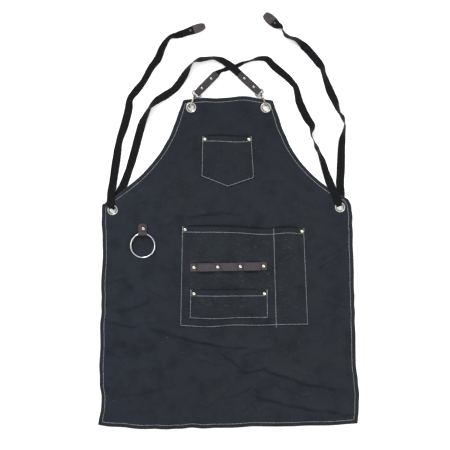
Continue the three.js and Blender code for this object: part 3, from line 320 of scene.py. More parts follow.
@dataclass
class Surface:
    """A mesh as whole arrays: points, faces in groups of like size, and what is known at each point."""

    points: Array
    faces: list[Array]
    uv: Optional[Array] = None
    marks: dict[str, Array] = field(default_factory=dict)

    @staticmethod
    def joined(parts: Sequence["Surface"]) -> "Surface":
        """Several surfaces as one.

        Args:
            parts: the surfaces, all with a UV or all without.

        Returns:
            One surface that holds them all.
        """
        starts = np.cumsum([0] + [len(part.points) for part in parts[:-1]])
        faces = [group + start for part, start in zip(parts, starts) for group in part.faces]
        uv = None if parts[0].uv is None else np.concatenate([part.uv for part in parts])
        marks = {name: np.concatenate([part.marks[name] for part in parts]) for name in parts[0].marks}
        return Surface(np.concatenate([part.points for part in parts]), faces, uv, marks)

    def moved(self, heading: float, place: Sequence[float]) -> "Surface":
        """The surface turned about Z by a heading in degrees and then carried to a place.

        Args:
            heading: degrees from +X towards +Y.
            place: where the surface's own origin goes.

        Returns:
            The moved surface.
        """
        angle = math.radians(heading)
        turn = np.array([
            [math.cos(angle), -math.sin(angle), 0],
            [math.sin(angle), math.cos(angle), 0],
            [0, 0, 1],
        ])
        return Surface(self.points @ turn.T + np.array(place), self.faces, self.uv, self.marks)

    def mirrored(self) -> "Surface":
        """The surface with its heights turned over, and its faces still outwards."""
        faces = [group[:, ::-1] for group in self.faces]
        return Surface(self.points * [1, 1, -1], faces, self.uv, self.marks)

    def into_object(self, name: str) -> Object:
        """The surface as a smooth-shaded object at the origin.

        Args:
            name: the piece's name.

        Returns:
            The new object, linked to the scene.
        """
        mesh = bpy.data.meshes.new(name)
        corners = np.concatenate([group.ravel() for group in self.faces]).astype(np.int32)
        sizes = np.concatenate([np.full(len(group), group.shape[1]) for group in self.faces])
        starts = np.concatenate([[0], np.cumsum(sizes)[:-1]]).astype(np.int32)
        mesh.vertices.add(len(self.points))
        mesh.vertices.foreach_set("co", self.points.astype(np.float32).ravel())
        mesh.loops.add(len(corners))
        mesh.loops.foreach_set("vertex_index", corners)
        mesh.polygons.add(len(sizes))
        mesh.polygons.foreach_set("loop_start", starts)
        mesh.update(calc_edges=True)
        if self.uv is not None:
            layer = mesh.uv_layers.new(name="lay")
            layer.data.foreach_set("uv", self.uv[corners].astype(np.float32).ravel())
        for mark, values in self.marks.items():
            attribute = mesh.attributes.new(mark, "FLOAT", "POINT")
            attribute.data.foreach_set("value", values.astype(np.float32))
        mesh.shade_smooth()
        made = bpy.data.objects.new(name, mesh)
        bpy.context.scene.collection.objects.link(made)
        return made


def lattice(rows: int, columns: int, around: bool = False, looped: bool = False) -> Array:
    """Quads of a grid of points that are numbered row by row.

    Args:
        rows: how many rows of points there are.
        columns: how many points each row has.
        around: whether each row closes on itself.
        looped: whether the last row joins the first.

    Returns:
        The quads' corners, one quad to a row.
    """
    index = np.arange(rows * columns).reshape(rows, columns)
    index = np.concatenate([index, index[:, :1]], axis=1) if around else index
    index = np.concatenate([index, index[:1]], axis=0) if looped else index
    quads = np.stack([index[:-1, :-1], index[:-1, 1:], index[1:, 1:], index[1:, :-1]], axis=-1)
    return quads.reshape(-1, 4)


def shell(top: Array, bottom: Array, keep: Array, marks: dict[str, Array]) -> Surface:
    """A closed wall between two grids: both faces, and an edge wall wherever a kept cell meets none.

    Args:
        top: the upper face's grid of points.
        bottom: the lower face's grid of points.
        keep: which cells of the grid are cloth.
        marks: values on the grid, the same on both faces.

    Returns:
        The closed wall, with plan coordinates as its UV.
    """
    rows, columns = top.shape[:2]
    under = rows * columns
    index = np.arange(under).reshape(rows, columns)
    cells = lattice(rows, columns).reshape(rows - 1, columns - 1, 4)[keep]
    padded = np.pad(keep, 1).astype(int)
    across = padded[1:, 1:-1] - padded[:-1, 1:-1]
    along = padded[1:-1, 1:] - padded[1:-1, :-1]
    edges = (
        (index[:, 1:][across == 1], index[:, :-1][across == 1]),
        (index[:, :-1][across == -1], index[:, 1:][across == -1]),
        (index[:-1][along == 1], index[1:][along == 1]),
        (index[1:][along == -1], index[:-1][along == -1]),
    )
    walls = [np.stack([start, end, end + under, start + under], axis=-1) for start, end in edges]
    faces = np.concatenate([cells, cells[:, ::-1] + under, *walls])
    used, faces = np.unique(faces, return_inverse=True)
    points = np.concatenate([top.reshape(-1, 3), bottom.reshape(-1, 3)])[used]
    values = {name: np.tile(value.ravel(), 2)[used] for name, value in marks.items()}
    return Surface(points, [faces.reshape(-1, 4)], points[:, :2].copy(), values)


def pierced(top: Array, bottom: Array, centre: Place, radius: float, keep: Array) -> None:
    """Takes a round hole out of a wall's grids.

    The cells inside go, and the corners that are left around them move to the circle.

    Args:
        top: the upper face's grid, changed in place.
        bottom: the lower face's grid, changed in place.
        centre: the hole's middle on the plan.
        radius: the hole's radius.
        keep: which cells are cloth, changed in place.
    """
    middle = (top[:-1, :-1] + top[1:, 1:] + top[:-1, 1:] + top[1:, :-1])[..., :2] / 4
    inside = np.hypot(*np.moveaxis(middle - np.array(centre), -1, 0)) < radius
    keep &= ~inside
    padded = np.pad(inside, 1)
    touch = padded[:-1, :-1] | padded[:-1, 1:] | padded[1:, :-1] | padded[1:, 1:]
    for grid in (top, bottom):
        away = grid[touch][:, :2] - np.array(centre)
        grid[touch, :2] = np.array(centre) + unit(away) * radius


def sweep(centre: Array, across: Array, up: Array, section: Array, looped: bool = False) -> Surface:
    """A section carried along a path: point = centre + a across + b up for each (a, b) of the section.

    Args:
        centre: the path's stations.
        across: the section's first direction at each station.
        up: its second direction, so that across x up runs along the path.
        section: offsets (a, b), anticlockwise, for each station.
        looped: whether the path closes on itself; otherwise both ends are capped.

    Returns:
        The closed surface. Its UV is the length along the path and the length round the section.
    """
    stations, sides = section.shape[:2]
    points = centre[:, None] + section[..., :1] * across[:, None] + section[..., 1:] * up[:, None]
    faces = [lattice(stations, sides, around=True, looped=looped)]
    if not looped:
        ring = np.arange(sides)[None]
        faces += [ring[:, ::-1], ring + (stations - 1) * sides]
    along = np.concatenate([[0], np.cumsum(step_lengths(centre))])
    uv = np.stack([np.repeat(along, sides), section[..., 0].ravel()], axis=-1)
    return Surface(points.reshape(-1, 3), faces, uv)


def flat_section(half_width: Array, half_thick: Array, flats: int = 9, rounds: int = 5) -> Array:
    """Sections of a flat band with half-round edges.

    Across is c (w - t) + t cos(a) and up is t sin(a). c runs from edge to edge on the two faces, and the
    angle a runs round the two edges.

    Args:
        half_width: half the band's width at each station.
        half_thick: half its thickness at each station.
        flats: points on each face.
        rounds: points on each edge.

    Returns:
        Offsets for sweep.
    """
    face = np.linspace(1, -1, flats)
    edge = np.linspace(0, np.pi, rounds + 2)[1:-1]
    share = np.concatenate([face, -np.ones(rounds), -face, np.ones(rounds)])
    upper, lower = 0.5 * np.pi, 1.5 * np.pi
    angle = np.concatenate([np.full(flats, upper), upper + edge, np.full(flats, lower), lower + edge])
    width, thick = half_width[:, None], half_thick[:, None]
    straight = np.maximum(width - thick, 0)
    return np.stack([share * straight + thick * np.cos(angle), thick * np.sin(angle)], axis=-1)


def round_section(radius: Array, sides: int = 16) -> Array:
    """Circles of the given radii, as offsets for sweep."""
    angle = np.linspace(0, 2 * np.pi, sides, endpoint=False)
    return radius[:, None, None] * np.stack([np.cos(angle), np.sin(angle)], axis=-1)


def tangents(path: Array, looped: bool = False) -> Array:
    """Directions along a path, from each point's two neighbours.

    Args:
        path: points of the path.
        looped: whether the path closes on itself.

    Returns:
        A direction for each point, one long.
    """
    if looped:
        return unit(np.roll(path, -1, axis=0) - np.roll(path, 1, axis=0))
    return unit(np.gradient(path, axis=0))


def resampled(path: Array, count: int) -> Array:
    """A path's points set evenly along its length.

    Args:
        path: points of the path, with no two neighbours alike.
        count: how many points to give.

    Returns:
        The even points.
    """
    along = np.concatenate([[0], np.cumsum(step_lengths(path))])
    even = np.linspace(0, along[-1], count)
    return np.stack([np.interp(even, along, path[:, k]) for k in range(path.shape[1])], axis=-1)


def cubics(rows: Array, leave: Array, arrive: Array, steps: int) -> Array:
    """Cubic pieces from each row of values to the next, with given slopes at both ends of each piece.

    Args:
        rows: one row of values for each station.
        leave: slope at the start of each piece.
        arrive: slope at its end.
        steps: points for each piece.

    Returns:
        The points, ends included.
    """
    share = (np.arange(steps) / steps)[None, :, None]
    start, end, leave, arrive = (value[:, None] for value in (rows[:-1], rows[1:], leave, arrive))
    curve = (
        start + leave * share
        + (3 * (end - start) - 2 * leave - arrive) * share ** 2
        + (2 * (start - end) + leave + arrive) * share ** 3
    )
    return np.concatenate([curve.reshape(-1, rows.shape[1]), rows[-1:]])


def spline(rows: Array, steps: int, tension: Optional[float] = None) -> Array:
    """A Catmull-Rom curve through rows of values.

    Args:
        rows: one row of values for each station.
        steps: points for each span.
        tension: share of the neighbours' difference that is the slope; none spaces the knots by the root of
            the distance between them.

    Returns:
        The points, ends included.
    """
    ends = np.concatenate([2 * rows[:1] - rows[1:2], rows, 2 * rows[-1:] - rows[-2:-1]])
    before, start, end, after = ends[:-3], ends[1:-2], ends[2:-1], ends[3:]
    if tension is None:
        knots = np.sqrt(np.maximum(step_lengths(ends), 1e-9))[:, None]
        d0, d1, d2 = knots[:-2], knots[1:-1], knots[2:]
        leave = ((start - before) / d0 - (end - before) / (d0 + d1) + (end - start) / d1) * d1
        arrive = ((end - start) / d1 - (after - start) / (d1 + d2) + (after - end) / d2) * d1
    else:
        leave, arrive = tension * (end - before), tension * (after - start)
    return cubics(rows, leave, arrive, steps)


def steady(values: Array, steps: int) -> Array:
    """A cubic through values that never passes beyond two neighbours.

    The slope at a value is the harmonic mean of the differences beside it, or nothing where they disagree.

    Args:
        values: one value for each station.
        steps: points for each span.

    Returns:
        The points, ends included.
    """
    step = np.diff(values)
    left, right = step[:-1], step[1:]
    agree = left * right > 0
    total = np.where(agree, left + right, 1)
    inner = np.where(agree, 2 * left * right / total, 0)
    slope = np.concatenate([step[:1], inner, step[-1:]])[:, None]
    return cubics(values[:, None], slope[:-1], slope[1:], steps)[:, 0]


def turned(profile: Array, sides: int) -> Surface:
    """A profile of radius and height spun about Z: (r cos a, r sin a, h).

    Args:
        profile: radius and height pairs that run upwards on the outside; it closes on itself if its ends are
            alike, and otherwise starts and ends on the axis.
        sides: points round the axis.

    Returns:
        The closed surface.
    """
    closed = bool(np.allclose(profile[0], profile[-1]))
    rings = profile[:-1] if closed else profile[1:-1]
    angle = np.linspace(0, 2 * np.pi, sides, endpoint=False)
    points = np.stack([
        np.outer(rings[:, 0], np.cos(angle)), np.outer(rings[:, 0], np.sin(angle)),
        np.repeat(rings[:, 1:], sides, axis=1),
    ], axis=-1).reshape(-1, 3)
    faces = [lattice(len(rings), sides, around=True, looped=closed)]
    if not closed:
        poles = np.array([[0, 0, profile[0, 1]], [0, 0, profile[-1, 1]]])
        base, crown = len(points), len(points) + 1
        ring = np.arange(sides)
        after = np.roll(ring, -1)
        last = (len(rings) - 1) * sides
        faces.append(np.stack([after, ring, np.full(sides, base)], axis=-1))
        faces.append(np.stack([ring + last, after + last, np.full(sides, crown)], axis=-1))
        points = np.concatenate([points, poles])
    return Surface(points, faces)


def tube(path: Array, normal: Sequence[float], radius: Union[float, Array], sides: int = 14,
         looped: bool = False) -> Surface:
    """A round wire along a path that lies in a plane.

    Args:
        path: the wire's centre line.
        normal: the plane's normal.
        radius: the wire's radius, or one for each point.
        sides: points round the wire.
        looped: whether the wire closes on itself.

    Returns:
        The wire's surface.
    """
    across = np.tile(np.array(normal, float), (len(path), 1))
    up = np.cross(tangents(path, looped), across)
    radii = np.broadcast_to(np.asarray(radius, float), (len(path),))
    return sweep(path, across, up, round_section(radii, sides), looped)


Number = Union[float, "Signal"]
Feed = Union[float, Sequence[float], NodeSocket, "Signal"]


class Signal:
    """A number in a shader graph that sums can be written on."""

    def __init__(self, graph: "NodeGraph", socket: NodeSocket) -> None:
        """Wraps a socket of a graph."""
        self.graph = graph
        self.socket = socket

    def __add__(self, other: Number) -> "Signal":
        """The sum."""
        return self.graph.math("ADD", self, other)

    __radd__ = __add__

    def __sub__(self, other: Number) -> "Signal":
        """The difference."""
        return self.graph.math("SUBTRACT", self, other)

    def __rsub__(self, other: Number) -> "Signal":
        """The difference from a number."""
        return self.graph.math("SUBTRACT", other, self)

    def __mul__(self, other: Number) -> "Signal":
        """The product."""
        return self.graph.math("MULTIPLY", self, other)

    __rmul__ = __mul__

    def __truediv__(self, other: Number) -> "Signal":
        """The quotient."""
        return self.graph.math("DIVIDE", self, other)

    def __abs__(self) -> "Signal":
        """The size without its sign."""
        return self.graph.math("ABSOLUTE", self)

    def sine(self) -> "Signal":
        """The sine of an angle in radians."""
        return self.graph.math("SINE", self)

    def fraction(self) -> "Signal":
        """What is left after the whole part."""
        return self.graph.math("FRACT", self)

    def eased(self, low: float, high: float) -> "Signal":
        """A smooth step from nothing at low to one at high."""
        made = self.graph.node(
            "ShaderNodeMapRange", {"interpolation_type": "SMOOTHSTEP"},
            {"Value": self, "From Min": low, "From Max": high},
        )
        return Signal(self.graph, made.outputs[0])


class NodeGraph:
    """A tree of nodes, written as expressions."""

    def __init__(self, tree: NodeTree) -> None:
        """Starts with an empty tree."""
        self.tree = tree
        self.tree.nodes.clear()

    def node(self, kind: str, settings: Optional[dict] = None, inputs: Optional[dict] = None) -> Node:
        """Adds a node.

        Args:
            kind: the node's type.
            settings: its own settings, which are set first.
            inputs: values or links of its sockets, by name or number.

        Returns:
            The node.
        """
        made = self.tree.nodes.new(kind)
        for key, value in (settings or {}).items():
            setattr(made, key, value)
        for key, value in (inputs or {}).items():
            self.feed(made.inputs[key], value)
        return made

    def feed(self, socket: NodeSocket, value: Feed) -> None:
        """Links a socket, or sets it.

        Args:
            socket: the input.
            value: a signal or output to link, or a constant.
        """
        source = value.socket if isinstance(value, Signal) else value
        if isinstance(source, NodeSocket):
            self.tree.links.new(source, socket)
        else:
            socket.default_value = source

    def math(self, operation: str, first: Number, second: Number = 0.0) -> Signal:
        """One sum of two numbers."""
        made = self.node("ShaderNodeMath", {"operation": operation}, {0: first, 1: second})
        return Signal(self, made.outputs[0])

    def axes(self, vector: NodeSocket) -> tuple[Signal, Signal, Signal]:
        """The three numbers of a vector."""
        made = self.node("ShaderNodeSeparateXYZ", inputs={0: vector})
        return tuple(Signal(self, made.outputs[k]) for k in range(3))

    def blend(self, factor: Number, first: Feed, second: Feed) -> NodeSocket:
        """A colour from first at no factor to second at one."""
        made = self.node("ShaderNodeMix", {"data_type": "RGBA"}, {0: factor, 6: first, 7: second})
        return made.outputs[2]


class ShaderGraph(NodeGraph):
    """A material's nodes."""

    def __init__(self, name: str) -> None:
        """Starts a material that has a surface shader and an output.

        Args:
            name: the material's name.
        """
        self.material = bpy.data.materials.new(name)
        self.material.use_nodes = True
        super().__init__(self.material.node_tree)
        self.surface = self.node("ShaderNodeBsdfPrincipled")
        self.node("ShaderNodeOutputMaterial", inputs={"Surface": self.surface.outputs[0]})
        self.object_place = self.node("ShaderNodeTexCoord").outputs["Object"]

    def lay(self) -> tuple[Signal, Signal]:
        """The piece's own UV, in metres along and across it."""
        place = self.node("ShaderNodeUVMap", {"uv_map": "lay"}).outputs[0]
        return self.axes(place)[:2]

    def mark(self, name: str) -> Signal:
        """A value that the mesh carries at its points."""
        return Signal(self, self.node("ShaderNodeAttribute", {"attribute_name": name}).outputs["Fac"])

    def stretched(self, scale: Sequence[float], turn: float = 0.0) -> NodeSocket:
        """Object coordinates turned about Z by degrees and scaled along each axis."""
        made = self.node(
            "ShaderNodeMapping", {"vector_type": "POINT"},
            {"Vector": self.object_place, "Rotation": (0, 0, math.radians(turn)), "Scale": scale},
        )
        return made.outputs[0]

    def noise(self, scale: float, detail: float = 2.0, roughness: float = 0.5,
              place: Optional[NodeSocket] = None, distortion: float = 0.0) -> Signal:
        """Smooth noise.

        Args:
            scale: lumps for each metre.
            detail: how many finer layers it has.
            roughness: how strong they are.
            place: coordinates to read, or the object's own.
            distortion: how far it is warped.

        Returns:
            The noise, around one half.
        """
        made = self.node("ShaderNodeTexNoise", None, {
            "Vector": place or self.object_place, "Scale": scale, "Detail": detail,
            "Roughness": roughness, "Distortion": distortion,
        })
        return Signal(self, made.outputs[0])

    def cells(self, scale: float) -> Signal:
        """Distance from the nearest border between cells of a pebbled grain."""
        made = self.node("ShaderNodeTexVoronoi", {"feature": "DISTANCE_TO_EDGE"}, {
            "Vector": self.object_place, "Scale": scale,
        })
        return Signal(self, made.outputs["Distance"])

    def relief(self, height: Signal, strength: float, depth: float,
               under: Optional[NodeSocket] = None) -> NodeSocket:
        """Bump of a height on the surface, or on another bump under it.

        Args:
            height: the height, from nothing to one.
            strength: how much of it shows.
            depth: what a height of one stands for, in metres.
            under: the bump's own base.

        Returns:
            The normal.
        """
        inputs = {"Strength": strength, "Distance": depth, "Height": height}
        if under is not None:
            inputs["Normal"] = under
        return self.node("ShaderNodeBump", inputs=inputs).outputs[0]

    def finished(self, colour: Feed, roughness: Feed, normal: Optional[NodeSocket],
                 **constants: Feed) -> Material:
        """Feeds the surface shader.

        Args:
            colour: base colour.
            roughness: roughness, varying or not.
            normal: bumped normal, if any.
            constants: other sockets, by name with _ for a space.

        Returns:
            The material.
        """
        self.feed(self.surface.inputs["Base Color"], colour)
        self.feed(self.surface.inputs["Roughness"], roughness)
        if normal is not None:
            self.feed(self.surface.inputs["Normal"], normal)
        for name, value in constants.items():
            self.feed(self.surface.inputs[name.replace("_", " ")], value)
        return self.material


@dataclass(frozen=True)
class CanvasFinish:
    """Waxed plain-weave canvas: patches, pale crest rubs (wear and painted highlight), painted shade in
    hollows, and flecks.
    """

    cool: Colour = srgb(34, 37, 44)
    warm: Colour = srgb(33, 38, 41)
    blue: Colour = srgb(34, 38, 49)
    deep: Colour = srgb(20, 22, 27)
    painted_shade_and_soil: Colour = srgb(11, 12, 15)
    pale: Colour = srgb(118, 122, 125)
    fleck: Colour = srgb(176, 178, 178)
    yarn: float = 0.0009

    def material(self) -> Material:
        """The finish as a material.

        Weave: with s = sin(pi x / yarn) and t = sin(pi y / yarn), the height is |s| where s t is positive and
        |t| where it is negative, so warp and weft pass over each other.

        Returns:
            The material.
        """
        graph = ShaderGraph("waxed_canvas")
        x, y, _ = graph.axes(graph.object_place)
        warp, weft = ((place * (math.pi / self.yarn)).sine() for place in (x, y))
        over = (warp * weft).eased(-0.25, 0.25)
        weave = over * abs(warp) + (1 - over) * abs(weft)
        patches = graph.noise(7, 3, 0.55).eased(0.36, 0.64)
        handled = graph.mark("handled")
        cloth = graph.blend(patches * (0.8 - handled * 0.4) + handled * 0.5, self.cool, self.warm)
        cloth = graph.blend((1 - x.eased(-0.32, -0.08)) * 0.5, cloth, self.blue)
        # Darker towards the bib
        cloth = graph.blend(y.eased(0.04, 0.24) * 0.28, cloth, self.deep)
        shade = graph.noise(19, 6, 0.62).eased(0.40, 0.76)
        cloth = graph.blend(shade * 0.75, cloth, self.deep)
        # Painted shade, darkest in the hollows below the folds and along the pocket mouths
        cloth = graph.blend(graph.mark("painted_shade_and_soil") * 0.85, cloth, self.painted_shade_and_soil)
        # Painted shade between the yarns of the weave
        cloth = graph.blend((1 - weave) * 0.45, cloth, self.deep)
        grain = graph.noise(300, 3, 0.75).eased(0.48, 0.82)
        streaks = graph.noise(1, 4, 0.65, graph.stretched((80, 460, 80), 8)).eased(0.58, 0.80)
        scuffs = graph.noise(1, 4, 0.65, graph.stretched((460, 60, 80), -12)).eased(0.63, 0.84)
        flecks = graph.noise(300, 1, 0.5).eased(0.73, 0.82) * graph.noise(18, 2).eased(0.46, 0.62)
        broken = graph.noise(70, 4, 0.6).eased(0.30, 0.75) * 0.7 + 0.3
        # Crests turn pale, partly as wear and partly as painted highlight
        rub_and_highlight = graph.mark("crest").eased(0.35, 1.1) * broken
        wear_and_painted_shade = graph.mark("edge").eased(0.2, 1.0) * graph.noise(180, 2).eased(0.40, 0.75)
        marks = streaks * (0.07 + handled * 0.40) + scuffs * (0.05 + handled * 0.09)
        cloth = graph.blend(grain * 0.05 + marks + rub_and_highlight * 0.015 + wear_and_painted_shade * 0.06, cloth, self.pale)
        cloth = graph.blend(flecks * 0.20, cloth, self.fleck)
        normal = graph.relief(graph.noise(42, 5, 0.58), 0.55, 0.0030)
        normal = graph.relief(weave, 0.45, 0.0003, normal)
        roughness = 0.86 - patches * 0.10
        sheen = {"Sheen_Weight": 0.03, "Sheen_Roughness": 0.6}
        return graph.finished(cloth, roughness, normal, Specular_IOR_Level=0.08, **sheen)


@dataclass(frozen=True)
class WebbingFinish:
    """Black cotton webbing with a herringbone weave along its length."""

    dark: Colour = srgb(12, 13, 15)
    light: Colour = srgb(18, 19, 21)
    dust: Colour = srgb(46, 47, 49)
    pick: float = 0.0021
    column: float = 0.0049

    def material(self) -> Material:
        """The finish as a material.

        Weave: with f the zigzag of the place across, |2 fract(v / column) - 1|, the height is
        sin(2 pi (u / pick + 1.2 f)).

        Returns:
            The material.
        """
        graph = ShaderGraph("black_webbing")
        along, across = graph.lay()
        zigzag = abs((across / self.column + 20.5).fraction() * 2 - 1)
        rib = ((along / self.pick + zigzag * 1.2) * (2 * math.pi)).sine() * 0.5 + 0.5
        fuzz = graph.noise(900, 2, 0.6)
        tone = graph.noise(60, 3, 0.55)
        colour = graph.blend(rib * 0.5 + tone.eased(0.3, 0.7) * 0.5, self.dark, self.light)
        colour = graph.blend(fuzz.eased(0.62, 0.80) * 0.30, colour, self.dust)
        normal = graph.relief(fuzz, 0.25, 0.0004)
        normal = graph.relief(rib, 0.5, 0.0004, normal)
        sheen = {"Sheen_Weight": 0.06, "Sheen_Roughness": 0.5}
        return graph.finished(colour, 0.92, normal, Specular_IOR_Level=0.10, **sheen)


@dataclass(frozen=True)
class LeatherFinish:
    """Oiled leather: pebbled grain, mottled dye and dark burnished edges."""

    name: str
    light: Colour
    dark: Colour
    edge: Colour = srgb(30, 25, 25)
    grain: float = 1100.0
    roughness: float = 0.50
    scratch: Colour = srgb(132, 122, 120)

    def material(self) -> Material:
        """The finish as a material: dye, burnished edges, a punch in painted shade and scratches on a pebbled
        relief.

        Returns:
            The material.
        """
        graph = ShaderGraph(self.name)
        mottle = graph.noise(38, 4, 0.55, distortion=0.6).eased(0.32, 0.68)
        scratches = graph.noise(1, 2, 0.5, graph.stretched((700, 60, 300), 17)).eased(0.68, 0.80)
        colour = graph.blend(mottle, self.dark, self.light)
        wear_and_painted_shade = graph.mark("edge")
        # Edges darken as burnished; values above one, on a tip's punch, are painted shade
        burnish_and_painted_shade = wear_and_painted_shade.eased(0.6, 1.0) * 0.45 + wear_and_painted_shade.eased(1.0, 2.0) * 0.55
        colour = graph.blend(burnish_and_painted_shade, colour, self.edge)
        colour = graph.blend(scratches * 0.14, colour, self.scratch)
        pebble = graph.cells(self.grain).eased(0.0, 0.22)
        normal = graph.relief(graph.noise(260, 3, 0.6), 0.30, 0.0006)
        normal = graph.relief(pebble, 0.28, 0.00022, normal)
        roughness = self.roughness + mottle * 0.12
        return graph.finished(colour, roughness, normal, Specular_IOR_Level=0.35)


@dataclass(frozen=True)
class MetalFinish:
    """Plated metal, handled: smudged roughness, fine scratches and a little tarnish."""

    name: str
    bright: Colour
    tarnish: Colour
    roughness: float = 0.20
    painted_shade: Colour = srgb(52, 51, 48)

    def material(self) -> Material:
        """The finish as a material: tarnish in smudges, and painted shade where the mesh marks it.

        Returns:
            The material.
        """
        graph = ShaderGraph(self.name)
        smudge = graph.noise(190, 3, 0.6)
        scratch = graph.noise(1, 2, 0.5, graph.stretched((2600, 240, 900), 35)).eased(0.62, 0.74)
        colour = graph.blend(smudge.eased(0.48, 0.78) * 0.6, self.bright, self.tarnish)
        # Painted shade on rivet rims, grommet collars, the hook's wire sides and its swivel
        colour = graph.blend(graph.mark("painted_shade_mask") * 0.8, colour, self.painted_shade)
        roughness = self.roughness + smudge.eased(0.35, 0.75) * 0.14 + scratch * 0.10
        normal = graph.relief(graph.noise(520, 2, 0.5), 0.10, 0.0002)
        return graph.finished(colour, roughness, normal, Metallic=1.0)


@dataclass(frozen=True)
class ThreadFinish:
    """Pale twisted sewing thread."""

    light: Colour = srgb(184, 186, 189)
    grey: Colour = srgb(132, 135, 139)
    twist: float = 0.0007

    def material(self) -> Material:
        """The finish as a material: stripes across the stitch at a slant, and soiling from place to place.

        Returns:
            The material.
        """
        graph = ShaderGraph("pale_thread")
        along, across = graph.lay()
        ply = ((along / self.twist + across * 900) * (2 * math.pi)).sine() * 0.5 + 0.5
        painted_shade_and_soil = graph.noise(85, 3, 0.6).eased(0.35, 0.72)
        colour = graph.blend(painted_shade_and_soil * 0.75 + ply * 0.15, self.light, self.grey)
        return graph.finished(colour, 0.75, graph.relief(ply, 0.4, 0.0001), Specular_IOR_Level=0.25)


class Leather(Enum):
    """The dyes of the leather pieces."""

    STRIP = LeatherFinish("strip_leather", srgb(60, 52, 57), srgb(48, 38, 43))
    TAB = LeatherFinish("tab_leather", srgb(43, 38, 39), srgb(33, 28, 29))
    TIP = LeatherFinish("tip_leather", srgb(58, 51, 50), srgb(44, 39, 38), grain=800)
    RING = LeatherFinish("ring_leather", srgb(57, 47, 48), srgb(42, 33, 33))


class Metal(Enum):
    """The platings of the metal pieces."""

    NICKEL = MetalFinish("nickel", srgb(200, 200, 195), srgb(150, 148, 138))
    HOOK = MetalFinish("hook_nickel", srgb(160, 156, 138), srgb(104, 100, 84), 0.24)
    EYE = MetalFinish("eye_nickel", srgb(104, 103, 99), srgb(62, 61, 58), 0.24)
    STEEL = MetalFinish("ring_steel", srgb(212, 214, 218), srgb(176, 180, 186), 0.18)
    CAP = MetalFinish("pale_brass", srgb(222, 218, 194), srgb(176, 169, 136), 0.24)
    DULL = MetalFinish("dull_nickel", srgb(78, 76, 76), srgb(52, 51, 51), 0.42)
    TAB = MetalFinish("tab_nickel", srgb(172, 169, 160), srgb(122, 118, 109), 0.30)


class Finishes:
    """Every material of the apron, each made once."""

    def __init__(self) -> None:
        """Makes the materials."""
        self.canvas = CanvasFinish().material()
        self.webbing = WebbingFinish().material()
        self.thread = ThreadFinish().material()
        self.of = {option: option.value.material() for option in (*Leather, *Metal)}


def dressed(made: Object, material: Material,
            replaces: Sequence[str] = (), body: str = BODY) -> Object:
    """Finishes a piece: its material, the body it rides on and the nodes it stands for.

    Args:
        made: the piece.
        material: its finish.
        replaces: nodes that it stands for.
        body: the body that carries it.

    Returns:
        The piece.
    """
    made.data.materials.append(material)
    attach(made, body)
    if replaces:
        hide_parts(*replaces)
    LOG.info("%s: %d faces", made.name, len(made.data.polygons))
    return made


@dataclass
class Stitching:
    """A row of sewn stitches, each a short thread that dips into the cloth at both ends."""

    pitch: float = 0.0037
    length: float = 0.0033
    width: float = 0.00092
    height: float = 0.0006
    stations: int = 5
    sides: int = 6
    sway: float = 0.05
    spread: Place = (0.94, 1.04)
    seed: int = 11

    def run(self, path: Array) -> Surface:
        """Stitches along a path on the cloth.

        A stitch is a round section carried along l in [-1/2, 1/2]. Its size shrinks as the root of
        1 - (2 l)^4 and its middle lies at height 1/2 - (2 l)^2, so that both ends sink.

        Args:
            path: points on the cloth's face.

        Returns:
            All the stitches as one surface.
        """
        span = float(step_lengths(path).sum())
        count = max(2, round(span / self.pitch))
        ends = resampled(path, 2 * count + 1)
        middle, along = ends[1::2], unit(ends[2::2] - ends[:-1:2])
        rng = np.random.default_rng(self.seed + count)
        sway = rng.normal(0, self.sway, count)[:, None]
        side = unit(np.cross([0.0, 0.0, 1.0], along))
        along = unit(along + sway * side)
        side, up = unit(np.cross([0.0, 0.0, 1.0], along)), np.cross(along, side)
        reach = span / count / self.pitch * self.length * rng.uniform(*self.spread, count)
        place = np.linspace(-0.5, 0.5, self.stations)
        size = np.sqrt(np.maximum(1 - (2 * place) ** 4, 0.09))
        ring = np.linspace(0, 2 * np.pi, self.sides, endpoint=False)
        run, around = np.meshgrid(place, ring, indexing="ij")
        wide = size[:, None] * np.cos(around) * self.width / 2
        tall = size[:, None] * np.sin(around) * self.height / 2 + (0.5 - (2 * run) ** 2) * self.height * 0.5
        points = (
            middle[:, None, None]
            + (reach[:, None, None] * run)[..., None] * along[:, None, None]
            + wide[None, ..., None] * side[:, None, None]
            + tall[None, ..., None] * up[:, None, None]
        )
        each = self.stations * self.sides
        starts = (np.arange(count) * each)[:, None, None]
        # Across runs to the left of the thread, so the ring is turned round to face outwards
        quads = lattice(self.stations, self.sides, around=True)[:, ::-1]
        cap = np.arange(self.sides)[None]
        faces = [
            (quads[None] + starts).reshape(-1, 4),
            (cap[None] + starts).reshape(-1, self.sides),
            (cap[None, :, ::-1] + each - self.sides + starts).reshape(-1, self.sides),
        ]
        uv = np.stack([np.broadcast_to(run * self.length, (count, *run.shape)),
                       np.broadcast_to(wide, (count, *wide.shape))], axis=-1)
        return Surface(points.reshape(-1, 3), faces, uv.reshape(-1, 2))


